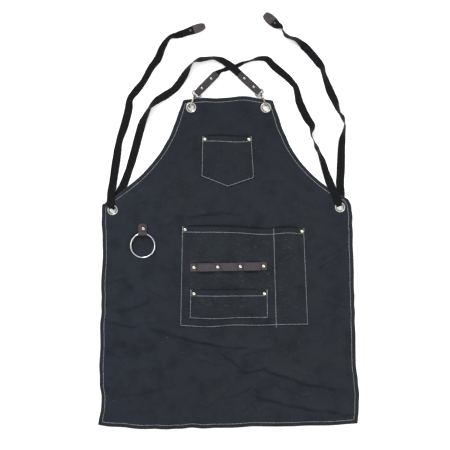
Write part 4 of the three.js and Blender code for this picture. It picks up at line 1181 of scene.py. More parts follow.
@dataclass
class Panel:
    """The hemmed canvas panel: bib, armholes and skirt, with its creases and its four pierced corners."""

    bib: Place = (0.121, 0.318)
    crown: float = 0.012
    bib_round: float = 0.007
    bib_peak: float = 0.006
    armhole: Place = (0.1525, 0.160)
    underarm: Place = (0.3255, 0.0525)
    waist: Place = (0.335, 0.037)
    skirt: Place = (0.350, -0.545)
    hem: float = 0.013
    hem_step: float = 0.003
    edge_round: float = 0.0015
    edge_thin: float = 0.16
    edge_ripple: float = 0.0005
    grommet_hole: float = 0.0099
    groove: float = 0.0004
    groove_width: float = 0.0008
    pucker: float = 0.0004
    pucker_lengths: Place = (0.0023, 0.017)
    pucker_band: float = 0.006
    worn_edge: float = 0.0022
    turned_area: float = 0.04
    # How far from a sewn piece the cloth starts to be free, and how far it is quite free
    free_from: Place = (0.002, 0.028)
    # Painted shade along a pocket's mouth: its height above, its width, and the share of the mouth where it
    # fades in
    mouth_shade_rise: float = 0.0008
    mouth_shade_width: float = 0.0026
    mouth_shade_fade: float = 0.12
    # How far the waves of the skirt's and the bib's edge and the bib's round corners reach into the cloth
    skirt_reach: float = 0.220
    bib_reach: float = 0.090
    corner_reach: float = 0.045
    # How far the left and the right waist corner lie lower, and the rise and reach of the left one's point
    waist_drop: Place = (0.003, -0.004)
    waist_reach: float = 0.055
    waist_point: Place = (0.007, 0.016)
    swell_height: float = 0.00021
    swell_lengths: Place = (0.030, 0.150)
    swell_waves: int = 18
    swell_seed: int = 5
    hem_lines: tuple[float, ...] = (
        0, 0.0003, 0.0007, 0.0011, 0.0016, 0.0025, 0.004, 0.006, 0.008, 0.0093, 0.0100, 0.0105, 0.0110,
        0.0117, 0.013, 0.0145, 0.016, 0.0185,
    )
    stitch_line: int = 11
    inner_columns: int = 128
    inner_rows: int = 196

    def half_width(self, y: Array) -> Array:
        """Half the panel's width at a height: a straight side seam, a short underarm edge and the armhole.

        The armhole is a quadratic curve, so its share t is the root of a t^2 + b t + c = 0 at that height.

        Args:
            y: heights on the plan.

        Returns:
            The half widths.
        """
        side = np.interp(y, (self.skirt[1], self.waist[1]), (self.skirt[0], self.waist[0]))
        under = np.interp(y, (self.waist[1], self.underarm[1]), (self.waist[0], self.underarm[0]))
        a = self.underarm[1] - 2 * self.armhole[1] + self.bib[1]
        b = 2 * (self.armhole[1] - self.underarm[1])
        t = (-b + np.sqrt(np.maximum(b * b - 4 * a * (self.underarm[1] - y), 0))) / (2 * a)
        t = np.clip(t, 0, 1)
        arm = (1 - t) ** 2 * self.underarm[0] + 2 * t * (1 - t) * self.armhole[0] + t * t * self.bib[0]
        return np.where(y <= self.waist[1], side, np.where(y <= self.underarm[1], under, arm))

    def plan(self) -> tuple[Array, Array, Array]:
        """The grid on the plan: places across, places up, and distances from the nearest edge.

        Returns:
            x, y and edge distance, each a grid of rows from the skirt to the bib.
        """
        lines = np.array(self.hem_lines)
        low, high = self.skirt[1], self.bib[1]
        rows = np.linspace(low + lines[-1], high - lines[-1], self.inner_rows + 2)[1:-1]
        heights = np.concatenate([low + lines, rows, high - lines[::-1]])
        half = self.half_width(heights)[:, None]
        slope = np.gradient(half[:, 0], heights)[:, None]
        stretch = np.minimum(np.sqrt(1 + slope ** 2), 1.9)
        inset = half - lines[None] * stretch
        share = np.linspace(-1, 1, self.inner_columns + 2)[None, 1:-1]
        x = np.concatenate([-inset, inset[:, -1:] * share, inset[:, ::-1]], axis=1)
        y = np.repeat(heights[:, None], x.shape[1], axis=1)
        edge = np.minimum((half - np.abs(x)) / stretch, np.minimum(y - low, high - y))
        side = np.abs(x) / half
        waves = np.where(x < 0, pushed(EDGE_WAVES["left"], y), pushed(EDGE_WAVES["right"], y))
        ripple = self.edge_ripple * np.sin(y / 0.011 + 2 * np.sin(y / 0.037))
        moved_x = x + (waves + ripple) * side ** 4
        rise = pushed(EDGE_WAVES["bottom"], moved_x) * bump(y - low, self.skirt_reach)
        top = pushed(EDGE_WAVES["top"], moved_x) + self.crown * (1 - (moved_x / half) ** 4)
        top = top + self.bib_peak * side ** 10
        into = np.clip((side * half - half + self.bib_round) / self.bib_round, 0, 1)
        corner = self.bib_round * (1 - np.sqrt(1 - into ** 2)) * bump(high - y, self.corner_reach)
        reach = np.hypot(np.abs(x) - self.underarm[0], y - self.underarm[1])
        corner = corner + np.where(x < 0, *self.waist_drop) * bump(reach, self.waist_reach)
        point, point_reach = self.waist_point
        corner = corner - point * bump(np.hypot(x + self.waist[0], y - self.waist[1]), point_reach)
        return moved_x, y + rise + top * bump(high - y, self.bib_reach) - corner, edge

    @staticmethod
    def ridge(fold: Fold, x: Array, y: Array, shape: Creasing = Creasing()) -> tuple[Array, Array]:
        """One fold: its height is a cosine bump of the distance to its line, which strays as a sine.

        Args:
            fold: the fold.
            x: places across.
            y: places up.
            shape: how folds of its kind lie.

        Returns:
            The heights, and a shade of one half way down its steep right side.
        """
        dx, dy = fold.x1 - fold.x0, fold.y1 - fold.y0
        length = math.hypot(dx, dy)
        run = (x * dx + y * dy) / length
        stray = np.sin(run / 0.015 + 31 * fold.x0) + 0.3 * np.sin(run / 0.0047 + 57 * fold.y1)
        stray = shape.wobble * stray
        x, y = x - stray * dy / length, y + stray * dx / length
        share = np.clip(((x - fold.x0) * dx + (y - fold.y0) * dy) / length ** 2, 0, 1)
        distance = np.hypot(x - fold.x0 - share * dx, y - fold.y0 - share * dy)
        left = (y - fold.y0) * dx > (x - fold.x0) * dy
        distance = np.where(left, distance / shape.gentle, distance * shape.steep)
        share = bump(np.maximum(distance - fold.flat, 0), fold.foot)
        return fold.rise * share, np.where(left, 0, 4 * share * (1 - share))

    def freedom(self, x: Array, y: Array) -> Array:
        """How free the cloth is to ripple.

        Args:
            x: places across.
            y: places up.

        Returns:
            One where it is free, nothing where something is sewn on it or holds it up.
        """
        free = np.ones_like(x)
        for x0, y0, x1, y1 in FLAT_PLACES:
            aside = np.maximum(np.maximum(x0 - x, x - x1), 0)
            away = np.hypot(aside, np.maximum(np.maximum(y0 - y, y - y1), 0))
            free = free * ease(away, *self.free_from)
        held = np.max([self.ridge(lift, x, y)[0] / lift.rise for lift in LIFTS], axis=0)
        return free * (1 - ease(held, 0.0, 0.5))

    def mouth_shade(self, x: Array, y: Array) -> Array:
        """Painted shade on the cloth just inside and above the mouths of the pockets that are sewn to it.

        Args:
            x: places across.
            y: places up.

        Returns:
            One along the mouths, nothing elsewhere.
        """
        painted_shade_and_soil = np.zeros_like(x)
        for pocket in (CHEST_POCKET, MAIN_POCKET):
            u = (x - pocket.left[1]) / pocket.width
            mouth = pocket.place(np.clip(u, 0, 1), np.ones_like(u))[1]
            across = ease(np.minimum(u, 1 - u), 0.0, self.mouth_shade_fade)
            painted_shade_and_soil = np.maximum(painted_shade_and_soil, across * spot(y - mouth - self.mouth_shade_rise, self.mouth_shade_width))
        return painted_shade_and_soil

    def swell(self, x: Array, y: Array) -> Array:
        """Low waves all over the cloth: a sum of sines with seeded headings, lengths and phases.

        Args:
            x: places across.
            y: places up.

        Returns:
            The rise.
        """
        rng = np.random.default_rng(self.swell_seed)
        total = np.zeros_like(x)
        for _ in range(self.swell_waves):
            angle, length = rng.uniform(0, np.pi), rng.uniform(*self.swell_lengths)
            phase = rng.uniform(0, 2 * np.pi)
            total += np.sin((x * np.cos(angle) + y * np.sin(angle)) * 2 * np.pi / length + phase)
        return total * self.swell_height

    def relief(self, x: Array, y: Array) -> tuple[Array, Array, Array]:
        """How far the cloth stands off its resting height, and how sharply it is creased there.

        Args:
            x: places across.
            y: places up.

        Returns:
            The rise, a value of about one on a crest, and painted shade: one in the hollow below a deep fold.
        """
        lift = np.max([self.ridge(row, x, y)[0] for row in LIFTS], axis=0)
        free = self.freedom(x, y)
        kinds = ((FOLDS, FOLD_SHAPE), (CREASES, CREASE_SHAPE))
        fold_rows, crease_rows = ([self.ridge(row, x, y, shape) for row in rows] for rows, shape in kinds)
        folds = np.max([rise for rise, _ in fold_rows], axis=0) * free
        creases = sum(rise for rise, _ in crease_rows) * free
        # Painted shade in the hollow down each fold's steep side, broken up along its length
        hollow = np.max([
            shade * min(1.0, row.rise / shape.deep)
            for (rows, shape), made in zip(kinds, (fold_rows, crease_rows))
            for row, (_, shade) in zip(rows, made)
        ], axis=0)
        patchy = np.sin(x / 0.019 + 2.1 * np.sin(y / 0.023)) * np.sin(y / 0.015 + 1.7 * np.sin(x / 0.031))
        hollow = hollow * (0.70 + 0.30 * patchy)
        crest = folds / FOLD_SHAPE.rub_and_highlight + creases / CREASE_SHAPE.rub_and_highlight
        rise = np.maximum(lift, folds + creases + self.swell(x, y) * free)
        return rise, crest * free, hollow * free

    def hem_loop(self, face: Array) -> Array:
        """The hem's sewn line, once round a face of the panel.

        Args:
            face: the face's grid.

        Returns:
            Points on it, the first one again at the end.
        """
        near, far = self.stitch_line, -self.stitch_line - 1
        return np.concatenate([
            face[near:far, near], face[far, near:far], face[far:near:-1, far], face[near, far:near - 1:-1],
        ])

    def build(self, finishes: Finishes) -> None:
        """Makes the panel and the stitching of its hem.

        Args:
            finishes: the materials.
        """
        x, y, edge = self.plan()
        rise, crest, hollow = self.relief(x, y)
        short, long = self.pucker_lengths
        pucker = 0.5 + 0.5 * np.sin((x + y) / short + 2 * np.sin((x - y) / long))
        pucker = self.pucker * pucker * spot(edge - self.pucker_band, self.pucker_band)
        thick = np.interp(edge, (self.hem, self.hem + self.hem_step), (HEM_THICK, CANVAS))
        sewn = self.groove * spot(edge - self.hem_lines[self.stitch_line], self.groove_width)
        half = thick / 2 * rounded_edge(edge, self.edge_round, self.edge_thin) - sewn
        middle = PANEL_TOP + rise + pucker - thick / 2
        top = np.stack([x, y, middle + half], axis=-1)
        bottom = np.stack([x, y, middle - half], axis=-1)
        keep = np.ones((x.shape[0] - 1, x.shape[1] - 1), bool)
        for name in GROMMETS:
            pierced(top, bottom, middle_of(name), self.grommet_hole, keep)
        # Painted shade along the pocket mouths and in the fold hollows
        painted_shade_and_soil = np.maximum(self.mouth_shade(x, y), hollow)
        marks = {"crest": crest, "edge": spot(edge, self.worn_edge), "painted_shade_and_soil": painted_shade_and_soil}
        cloth = shell(top, bottom, keep, marks).into_object("panel_canvas")
        dressed(cloth, finishes.canvas, ["apron_panel"])
        below = Stitching(seed=4).run(self.hem_loop(bottom) * [1, 1, -1]).mirrored()
        above = Stitching(seed=3).run(self.hem_loop(top))
        thread = Surface.joined([above, below]).into_object("panel_stitching")
        dressed(thread, finishes.thread)


@dataclass(frozen=True)
class Pocket:
    """A patch pocket: corners of the patch, how far its slack front stands off, and where it is sewn."""

    name: str
    left: Place
    right: Place
    top: Place
    bottom: Place
    rise: float
    mouth_stitch: float
    use: float = 1.0
    point: float = 0.0
    mouth_sag: tuple[Wave, ...] = ()
    bottom_sag: tuple[Wave, ...] = ()
    seams: tuple[float, ...] = (0.0, 1.0)
    seam: float = 0.004
    mouth_seam: float = 0.0155
    stitch_inset: float = 0.0026
    groove: float = 0.0003
    groove_width: float = 0.0007
    hem_groove: float = 0.0008
    edge_round: float = 0.0009
    turned: Place = (0.02, 0.024)
    # Shares of the height between which the outer seams widen, and how fast a wider pouch is fuller
    widen: Place = (0.55, 0.75)
    fullness: float = 3.2
    slack: float = 0.00018
    ripple: float = 0.0002
    ripple_length: float = 0.0031
    ripple_band: float = 0.006
    # Width of the painted shade along the mouth's edge
    worn_edge: float = 0.0018
    mouth_shade_band: float = 0.0016
    # How far from its edges the front starts to be worn by use, and how far it is worn in full
    used_from: Place = (0.004, 0.030)
    first_seed: int = 20
    # Where a divider's stitches run on below the pocket, and the second stitches that tack the mouth's ends
    run_out: Place = (0.0004, 0.005)
    tack: float = 0.012
    tack_shift: tuple[float, float, float] = (0.0007, 0, 0.0002)
    columns: int = 96
    rows: int = 72

    @property
    def width(self) -> float:
        """Width of the mouth."""
        return self.right[1] - self.left[1]

    @property
    def height(self) -> float:
        """Height of the left side."""
        return self.top[0] - self.bottom[0]

    def place(self, u: Array, v: Array) -> tuple[Array, Array]:
        """Where a point of the patch lies: u runs across and v from the bottom to the mouth.

        Args:
            u: shares across.
            v: shares up.

        Returns:
            Places across and up on the plan.
        """
        left = self.left[0] + (self.left[1] - self.left[0]) * v
        right = self.right[0] + (self.right[1] - self.right[0]) * v
        low = self.bottom[0] + (self.bottom[1] - self.bottom[0]) * u - self.point * (1 - np.abs(2 * u - 1))
        high = self.top[0] + (self.top[1] - self.top[0]) * u
        low = low + pushed(self.bottom_sag, u)
        high = high + pushed(self.mouth_sag, u)
        return left + (right - left) * u, low + (high - low) * v

    def standoff(self, u: Array, v: Array) -> Array:
        """How far the front stands off: nothing at the seams and the riveted corners, fullest between them.

        Between two seams it is the fullness times 1 - (1 - i)^4 across, with i the share from the seam's flat
        margin to the middle, and times 1 - (1 - v)^4 up.

        Args:
            u: shares across.
            v: shares up.

        Returns:
            The rise.
        """
        rise = np.zeros(np.broadcast(u, v).shape)
        for start, end in zip(self.seams[:-1], self.seams[1:]):
            outer = np.where(u < (start + end) / 2, start == 0, end == 1)
            margin = self.seam + np.where(outer, self.mouth_seam - self.seam, 0) * ease(v, *self.widen)
            margin = margin / self.width
            half = (end - start) / 2
            inside = np.clip((np.minimum(u - start, end - u) - margin) / (half - margin), 0, 1)
            full = self.rise * min(1.0, self.fullness * (end - start))
            rise = rise + full * (1 - (1 - inside) ** 4)
        return rise * (1 - (1 - v) ** 4)

    def top_at(self, x: Array, y: Array) -> Array:
        """Height of the front's face above what the pocket lies on, at a place on the plan.

        Args:
            x: places across.
            y: places up.

        Returns:
            The heights, cloth included.
        """
        v = np.full(np.broadcast(x, y).shape, 0.5)
        u = v
        for _ in range(8):
            left, right = self.place(np.zeros_like(v), v)[0], self.place(np.ones_like(v), v)[0]
            u = np.clip((x - left) / (right - left), 0, 1)
            low, high = self.place(u, np.zeros_like(v))[1], self.place(u, np.ones_like(v))[1]
            v = np.clip((y - low) / (high - low), 0, 1)
        return CANVAS + self.standoff(u, v)

    def shares(self) -> tuple[Array, Array]:
        """The grid's lines across and up, closer together at the edges and the sewn lines.

        Returns:
            Shares across and shares up.
        """
        near = np.array([0, 0.0003, 0.0007, 0.0012, 0.0019, self.stitch_inset, 0.0033, 0.0045, 0.007])
        sides = near / self.width
        inner = np.linspace(sides[-1], 1 - sides[-1], self.columns)
        beside = np.array([-0.004, -0.002, -0.001, -0.0005, 0, 0.0005, 0.001, 0.002, 0.004])
        beside = beside / self.width
        dividers = [seam + beside for seam in self.seams[1:-1]]
        u = np.unique(np.round(np.concatenate([sides, inner, 1 - sides, *dividers]), 6))
        stitch = self.mouth_stitch + np.array([-0.0016, -0.0008, 0, 0.0008, 0.0016])
        mouth = np.concatenate([near[:-1], stitch]) / self.height
        low = near / self.height
        v = np.concatenate([low, np.linspace(low[-1], 1 - low[-1], self.rows), 1 - mouth])
        return u, np.unique(np.round(v, 6))

    def build(self, finishes: Finishes, base: Callable[[Array, Array], Array], rests_on: str) -> None:
        """Makes the pocket and its stitching.

        Args:
            finishes: the materials.
            base: height of what the pocket lies on, at places on the plan.
            rests_on: the node that it is sewn to; not used.
        """
        us, vs = self.shares()
        u, v = np.meshgrid(us, vs)
        x, y = self.place(u, v)
        stand = self.standoff(u, v)
        side = np.minimum(u, 1 - u) * self.width
        below = (1 - v) * self.height
        edge = np.minimum(np.minimum(side, v * self.height), below)
        folded = ease(self.mouth_stitch + 0.001 - below, 0, 0.002) * ease(stand, 0.0006, 0.0022)
        thick = CANVAS * (1 + folded)
        lines = [spot(side - self.stitch_inset, self.groove_width)]
        lines.append(spot(v * self.height - self.stitch_inset, self.groove_width))
        lines.append(spot(below - self.mouth_stitch, self.hem_groove))
        lines += [spot((u - seam) * self.width, self.hem_groove) for seam in self.seams[1:-1]]
        sewn = self.groove * np.max(lines, axis=0)
        slack = self.slack * np.sin(x / 0.013 + 1.3 * np.sin(y / 0.021))
        slack = slack * np.sin(y / 0.017 + np.sin(x / 0.029))
        ripple = self.ripple * np.sin((x + 0.3 * y) / self.ripple_length)
        ripple = ripple * spot(below - self.ripple_band, self.ripple_band)
        face = base(x, y) + CANVAS + stand + (slack + ripple) * ease(stand, 0.0005, 0.004)
        middle, half = face - thick / 2, thick / 2 * rounded_edge(edge, self.edge_round)
        top = np.stack([x, y, middle + half - sewn], axis=-1)
        bottom = np.stack([x, y, middle - half], axis=-1)
        keep = np.ones((len(vs) - 1, len(us) - 1), bool)
        marks = {
            "crest": 0.35 * ease(np.abs(slack), 0.00008, self.slack),
            "edge": spot(edge, self.worn_edge),
            # Painted shade along the mouth's edge
            "painted_shade_and_soil": 0.8 * spot(below, self.mouth_shade_band),
            "handled": self.use * ease(edge, *self.used_from),
        }
        cloth = shell(top, bottom, keep, marks).into_object(f"{self.name}_canvas")
        dressed(cloth, finishes.canvas, [self.name])
        thread = Surface.joined(self.seam_rows(top, us, vs)).into_object(f"{self.name}_stitching")
        dressed(thread, finishes.thread)
        flat = (self.width + self.turned[0], self.height + self.point + self.turned[1])

    def seam_rows(self, top: Array, us: Array, vs: Array) -> list[Surface]:
        """The stitched lines on the pocket's face.

        Args:
            top: the face's grid.
            us: the grid's lines across.
            vs: its lines up.

        Returns:
            A surface for each line: the three sewn edges, the mouth's hem, each divider, and a second row of
            stitches at the ends that bear the strain.
        """
        def line_at(lines: Array, share: float) -> int:
            """Number of the grid line that is nearest to a share."""
            return int(np.argmin(np.abs(lines - share)))

        left = line_at(us, self.stitch_inset / self.width)
        right = len(us) - 1 - left
        low = line_at(vs, self.stitch_inset / self.height)
        mouth = line_at(vs, 1 - self.mouth_stitch / self.height)
        around = np.concatenate([top[::-1, left][:len(vs) - low], top[low, left + 1:right], top[low:, right]])
        dividers = [top[:, line_at(us, seam)] for seam in self.seams[1:-1]]
        lines = [around, top[mouth, left:right + 1], *dividers]
        for divider in dividers:
            x, y, _ = divider[0]
            lines.append(np.array([[x, y - reach, PANEL_TOP + 0.0002] for reach in self.run_out]))
        tack = line_at(vs, 1 - self.tack / self.height)
        lines += [top[tack:, column] + np.array(self.tack_shift) for column in (left, right)]
        return [Stitching(seed=self.first_seed + k).run(line) for k, line in enumerate(lines)]


CHEST_POCKET = Pocket(
    "chest_pocket", left=(-0.0710, -0.0685), right=(0.0732, 0.0657), top=(0.226, 0.2255),
    bottom=(0.118, 0.114), rise=0.007, mouth_stitch=0.0122, point=0.027, use=0.35,
    mouth_sag=(Wave(0.36, 0.34, 0.0012), Wave(0.75, 0.25, -0.0014)),
)
MAIN_POCKET = Pocket(
    "main_pocket", left=(-0.1283, -0.1230), right=(0.2182, 0.2072), top=(-0.016, -0.0215),
    bottom=(-0.285, -0.281), rise=0.008, mouth_stitch=0.0150, seams=(0.0, 0.749, 1.0), columns=150, rows=110,
    mouth_sag=(Wave(0.30, 0.22, 0.0010), Wave(0.66, 0.22, -0.0034), Wave(0.86, 0.13, 0.0020)),
    bottom_sag=(Wave(0.22, 0.22, -0.0040), Wave(0.62, 0.20, -0.0014)),
)
SMALL_POCKET = Pocket(
    "small_pocket", left=(-0.1025, -0.1005), right=(0.1105, 0.1085), top=(-0.186, -0.186),
    bottom=(-0.264, -0.2625), rise=0.006, mouth_stitch=0.0162, bottom_sag=(Wave(0.32, 0.32, -0.0028),),
)


def on_panel(x: Array, y: Array) -> Array:
    """Height of the flat panel's seat."""
    return np.full(np.broadcast(x, y).shape, SEAT)


def on_main_pocket(x: Array, y: Array) -> Array:
    """Height of the seat on the main pocket's front."""
    return SEAT + MAIN_POCKET.top_at(x, y) + SOFT_GAP


def band(centre: Array, across: Array, up: Array, half_width: Array, half_thick: Array) -> Surface:
    """A flat strip of leather along a path, with round edges and a mark that grows towards them.

    Args:
        centre: the path.
        across: direction of its width.
        up: direction of its face.
        half_width: half its width along the path.
        half_thick: half its thickness along the path.

    Returns:
        The strip.
    """
    section = flat_section(half_width, half_thick, flats=11)
    made = sweep(centre, across, up, section)
    reach = np.abs(section[..., 0]) / half_width.max()
    edge = ease(reach, 0.80, 1.0)
    edge[:2] = edge[-2:] = 1.0
    made.marks["edge"] = edge.ravel()
    return made


def rounded_end(along: Array, length: float, half: Array, corner: float) -> Array:
    """Half widths that draw in at the end of a strip with round corners.

    Args:
        along: places along the strip.
        length: where it ends.
        half: its half width without the corners.
        corner: the corners' radius.

    Returns:
        The half widths.
    """
    into = np.clip((along - (length - corner)) / corner, 0, 1)
    return half - corner * (1 - np.sqrt(1 - into ** 2))


@dataclass
class ToolStrip:
    """The leather strip on the main pocket: three loops between four rivets."""

    left: float = -0.1005
    right: float = 0.1065
    width: float = 0.022
    ends: Place = (-0.1266, -0.1224)
    loop: float = 0.006
    rivets: tuple[float, ...] = (-0.090, -0.0262, 0.0344, 0.097)
    cap: float = 0.0046
    press: float = 0.00025
    press_width: float = 0.006
    end_round: float = 0.0010
    corner: float = 0.0016
    stations: int = 240

    def build(self, finishes: Finishes) -> None:
        """Makes the strip: its height is its seat plus loop (1 - |2 s - 1|^3) between two rivets' caps.

        Args:
            finishes: the materials.
        """
        x = np.linspace(self.left, self.right, self.stations)
        y = np.interp(x, (self.left, self.right), self.ends)
        seat = on_main_pocket(x, y)
        arch = np.zeros_like(x)
        for start, end in zip(self.rivets[:-1], self.rivets[1:]):
            share = np.clip((x - start - self.cap) / (end - start - 2 * self.cap), 0, 1)
            arch += self.loop * (1 - np.abs(2 * share - 1) ** 3)
        pressed = self.press * sum(spot(x - at, self.press_width) for at in self.rivets)
        centre = np.stack([x, y, seat + LEATHER / 2 + arch - pressed], axis=-1)
        along = tangents(centre)
        across = -unit(np.stack([-along[:, 1], along[:, 0], np.zeros_like(x)], axis=-1))
        ends = np.minimum(x - self.left, self.right - x)
        half = rounded_end(-ends, 0.0, np.full_like(x, self.width / 2), self.corner)
        thick = LEATHER / 2 * rounded_edge(ends, self.end_round)
        strip = band(centre, across, np.cross(along, across), half, thick).into_object("tool_strip_leather")
        dressed(strip, finishes.of[Leather.STRIP], ["tool_strip"])


def folded_strip(length: float, width: float, neck: float, fold: float, slack: float, pinch: float,
                 upper: float, lower: float, corner: float) -> Surface:
    """A leather strip folded round a bar: the fold is at the origin and both flaps run along +X.

    Its middle line is the lower flap, the tangent to a circle of the fold's radius, the circle's far side,
    and the tangent back to the upper flap.

    Args:
        length: reach of the flaps.
        width: width of the flaps.
        neck: width at the fold.
        fold: inside radius of the fold.
        slack: how far the fold's middle lies behind the origin.
        pinch: where the flaps come together.
        upper: height of the upper flap's inner face.
        lower: height of the lower flap's inner face.
        corner: radius of the corners.

    Returns:
        The strip.
    """
    radius = fold + LEATHER / 2
    above, below = upper + LEATHER / 2, lower - LEATHER / 2
    reach = pinch + slack
    start = math.atan2(below, reach) - math.acos(radius / math.hypot(reach, below)) + 2 * math.pi
    end = math.atan2(above, reach) + math.acos(radius / math.hypot(reach, above))
    angle = np.linspace(start, end, 40)
    arc = np.stack([radius * np.cos(angle) - slack, radius * np.sin(angle)], axis=-1)
    line = np.concatenate([[[length, below], [pinch, below]], arc, [[pinch, above], [length, above]]])
    line = resampled(line, 260)
    # Its bends are eased by a running mean, away from both ends
    spread = 7
    inner = slice(spread + 1, -spread - 1)
    window = np.hanning(2 * spread + 1)
    window = window / window.sum()
    padded = np.pad(line, ((spread, spread), (0, 0)), mode="edge")
    line[inner] = np.stack([np.convolve(column, window, "valid") for column in padded.T], axis=-1)[inner]
    x, z = line.T
    centre = np.stack([x, np.zeros_like(x), z], axis=-1)
    along = tangents(centre)
    across = np.tile([0.0, 1.0, 0.0], (len(x), 1))
    half = np.interp(x, (0, pinch), (neck / 2, width / 2))
    half = rounded_end(x, length, half, corner)
    thick = LEATHER / 2 * rounded_edge(length - x, 0.001)
    return band(centre, across, np.cross(along, across), half, thick)


@dataclass
class RingSet:
    """The steel ring and the folded leather tab that carries it."""

    radius: float = 0.0322
    wire: float = 0.0020
    width: float = 0.0235
    length: float = 0.028
    fold: float = 0.0041
    pinch: float = 0.0086
    corner: float = 0.008
    lean: float = 91.0
    stations: int = 128
    sides: int = 20

    def build(self, finishes: Finishes) -> None:
        """Makes the tab and the ring, about the hinge's place.

        Args:
            finishes: the materials.
        """
        pivot = np.array(frame["joints"][0]["pos_m"])
        tab = folded_strip(
            self.length, self.width, neck=self.width, fold=self.fold, slack=0.0, pinch=self.pinch,
            upper=GAP - self.fold, lower=-self.fold, corner=self.corner,
        )
        leather = tab.moved(self.lean, pivot).into_object("ring_tab_leather")
        dressed(leather, finishes.of[Leather.RING], ["ring_tab"])
        inside = math.sqrt(self.radius ** 2 - (self.width / 2) ** 2)
        arm = self.radius - (self.radius - inside) / 2
        dip = math.asin((pivot[2] - SEAT - self.wire) / (2 * arm))
        angle = np.linspace(0, 2 * np.pi, self.stations, endpoint=False)
        flat = np.stack([self.radius * np.cos(angle), self.radius * np.sin(angle) - arm, 0 * angle], axis=-1)
        tilt = np.array([[1, 0, 0], [0, math.cos(dip), -math.sin(dip)], [0, math.sin(dip), math.cos(dip)]])
        ring = tube(flat @ tilt.T + pivot, tilt @ [0, 0, 1.0], self.wire, self.sides, looped=True)
        made = ring.into_object("tool_ring_steel")
        dressed(made, finishes.of[Metal.STEEL], ["tool_ring"], RING_BODY)


GROMMETS = ("grommet_bib_left", "grommet_bib_right", "grommet_waist_left", "grommet_waist_right")


@dataclass
class Grommet:
    """A pressed eyelet: a rolled flange in front, a tube and a washer behind."""

    node: str
    hole: float = 0.0085
    tube: float = 0.0093
    flange: float = 0.014
    plate: float = 0.001
    crown: float = 0.0013
    collar_share: float = 0.33
    collar_height: float = 0.35
    collar_dip: float = 0.1
    lip: float = 0.0004
    bevel: float = 0.0003
    # How far outside and inside the collar's edge the painted shade fades in
    painted_shade: Place = (0.0012, 0.0002)
    sides: int = 56

    def build(self, finishes: Finishes) -> None:
        """Makes the eyelet in the place of its node.

        From rim to hole the face is crown (1 - |2 s - 1|^4) over the flange's outer two thirds, and then a
        lower collar that turns into the tube.

        Args:
            finishes: the materials.
        """
        low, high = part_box(self.node)
        foot, under = low.z, low.z + self.plate
        over = high.z - self.crown
        collar = self.hole + (self.flange - self.hole) * self.collar_share
        step = self.collar_height
        share = np.linspace(0, 1, 19)
        face = np.stack([
            self.flange + (collar - self.flange) * share,
            over + self.crown * (step * share + (1 - step * share) * (1 - np.abs(2 * share - 1) ** 4)),
        ], axis=-1)
        turn = np.linspace(0, np.pi / 2, 7)[1:]
        roll = np.stack([
            collar - (collar - self.hole) * np.sin(turn),
            over + self.crown * (step * np.cos(turn) - self.collar_dip),
        ], axis=-1)
        rim, tube_wall = self.flange, self.tube
        back = [(self.hole, foot + self.lip), (self.hole + self.lip, foot), (rim - self.bevel, foot)]
        wall = [(rim, foot + self.bevel), (rim, under), (tube_wall, under), (tube_wall, over)]
        profile = np.concatenate([back, wall, face, roll, back[:1]])
        # Painted shade on the collar's roll into the hole
        painted_shade_mask = ease(-profile[:, 0], -collar - self.painted_shade[0], -collar + self.painted_shade[1])
        painted_shade_mask = painted_shade_mask * (profile[:, 1] > under)
        made = turned(profile, self.sides).moved(0, (*middle_of(self.node), 0))
        made.marks["painted_shade_mask"] = np.repeat(painted_shade_mask[:-1], self.sides)
        dressed(made.into_object(f"{self.node}_metal"), finishes.of[Metal.NICKEL], [self.node])


@dataclass
class Rivet:
    """A capped rivet: a domed front with a rolled rim, a post and a flat back."""

    node: str
    material: Material
    slot: Slot
    cap: float = 0.0046
    dome: float = 0.0021
    post: float = 0.0014
    back_cap: float = 0.004
    rim: float = 0.0007
    chamfer: float = 0.0003
    # Strength of the painted shade round the cap's rim, and the share of the cap's radius where it starts
    painted_shade: float = 0.7
    painted_shade_from: float = 0.78
    sides: int = 32

    def build(self) -> None:
        """Makes the rivet in the place of its node: the dome is a quarter ellipse above a round rim."""
        low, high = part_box(self.node)
        foot, under, over = low.z, low.z + RIVET_BACK, high.z - self.dome
        angle = np.linspace(0, np.pi / 2, 12)
        curl = np.linspace(-np.pi / 2, np.pi / 3, 7)
        edge = np.stack([np.cos(curl), 1 + np.sin(curl)], axis=-1) * self.rim + [self.cap - self.rim, over]
        span = self.dome - edge[-1, 1] + over
        crown = np.stack([edge[-1, 0] * np.cos(angle), edge[-1, 1] + span * np.sin(angle)], axis=-1)[1:]
        back = [
            (0, foot), (self.back_cap - self.chamfer, foot), (self.back_cap, foot + self.chamfer),
            (self.back_cap, under), (self.post, under), (self.post, over),
        ]
        profile = np.concatenate([back, edge, crown])
        profile[-1, 0] = 0
        made = turned(profile, self.sides).moved(0, (*middle_of(self.node), 0))
        radius = np.concatenate([np.repeat(profile[1:-1, 0], self.sides), [0, 0]])
        # Painted shade as a dark ring round the cap's rim
        made.marks["painted_shade_mask"] = self.painted_shade * ease(radius, self.painted_shade_from * self.cap, self.cap)
        dressed(made.into_object(f"{self.node}_metal"), self.material, [self.node])


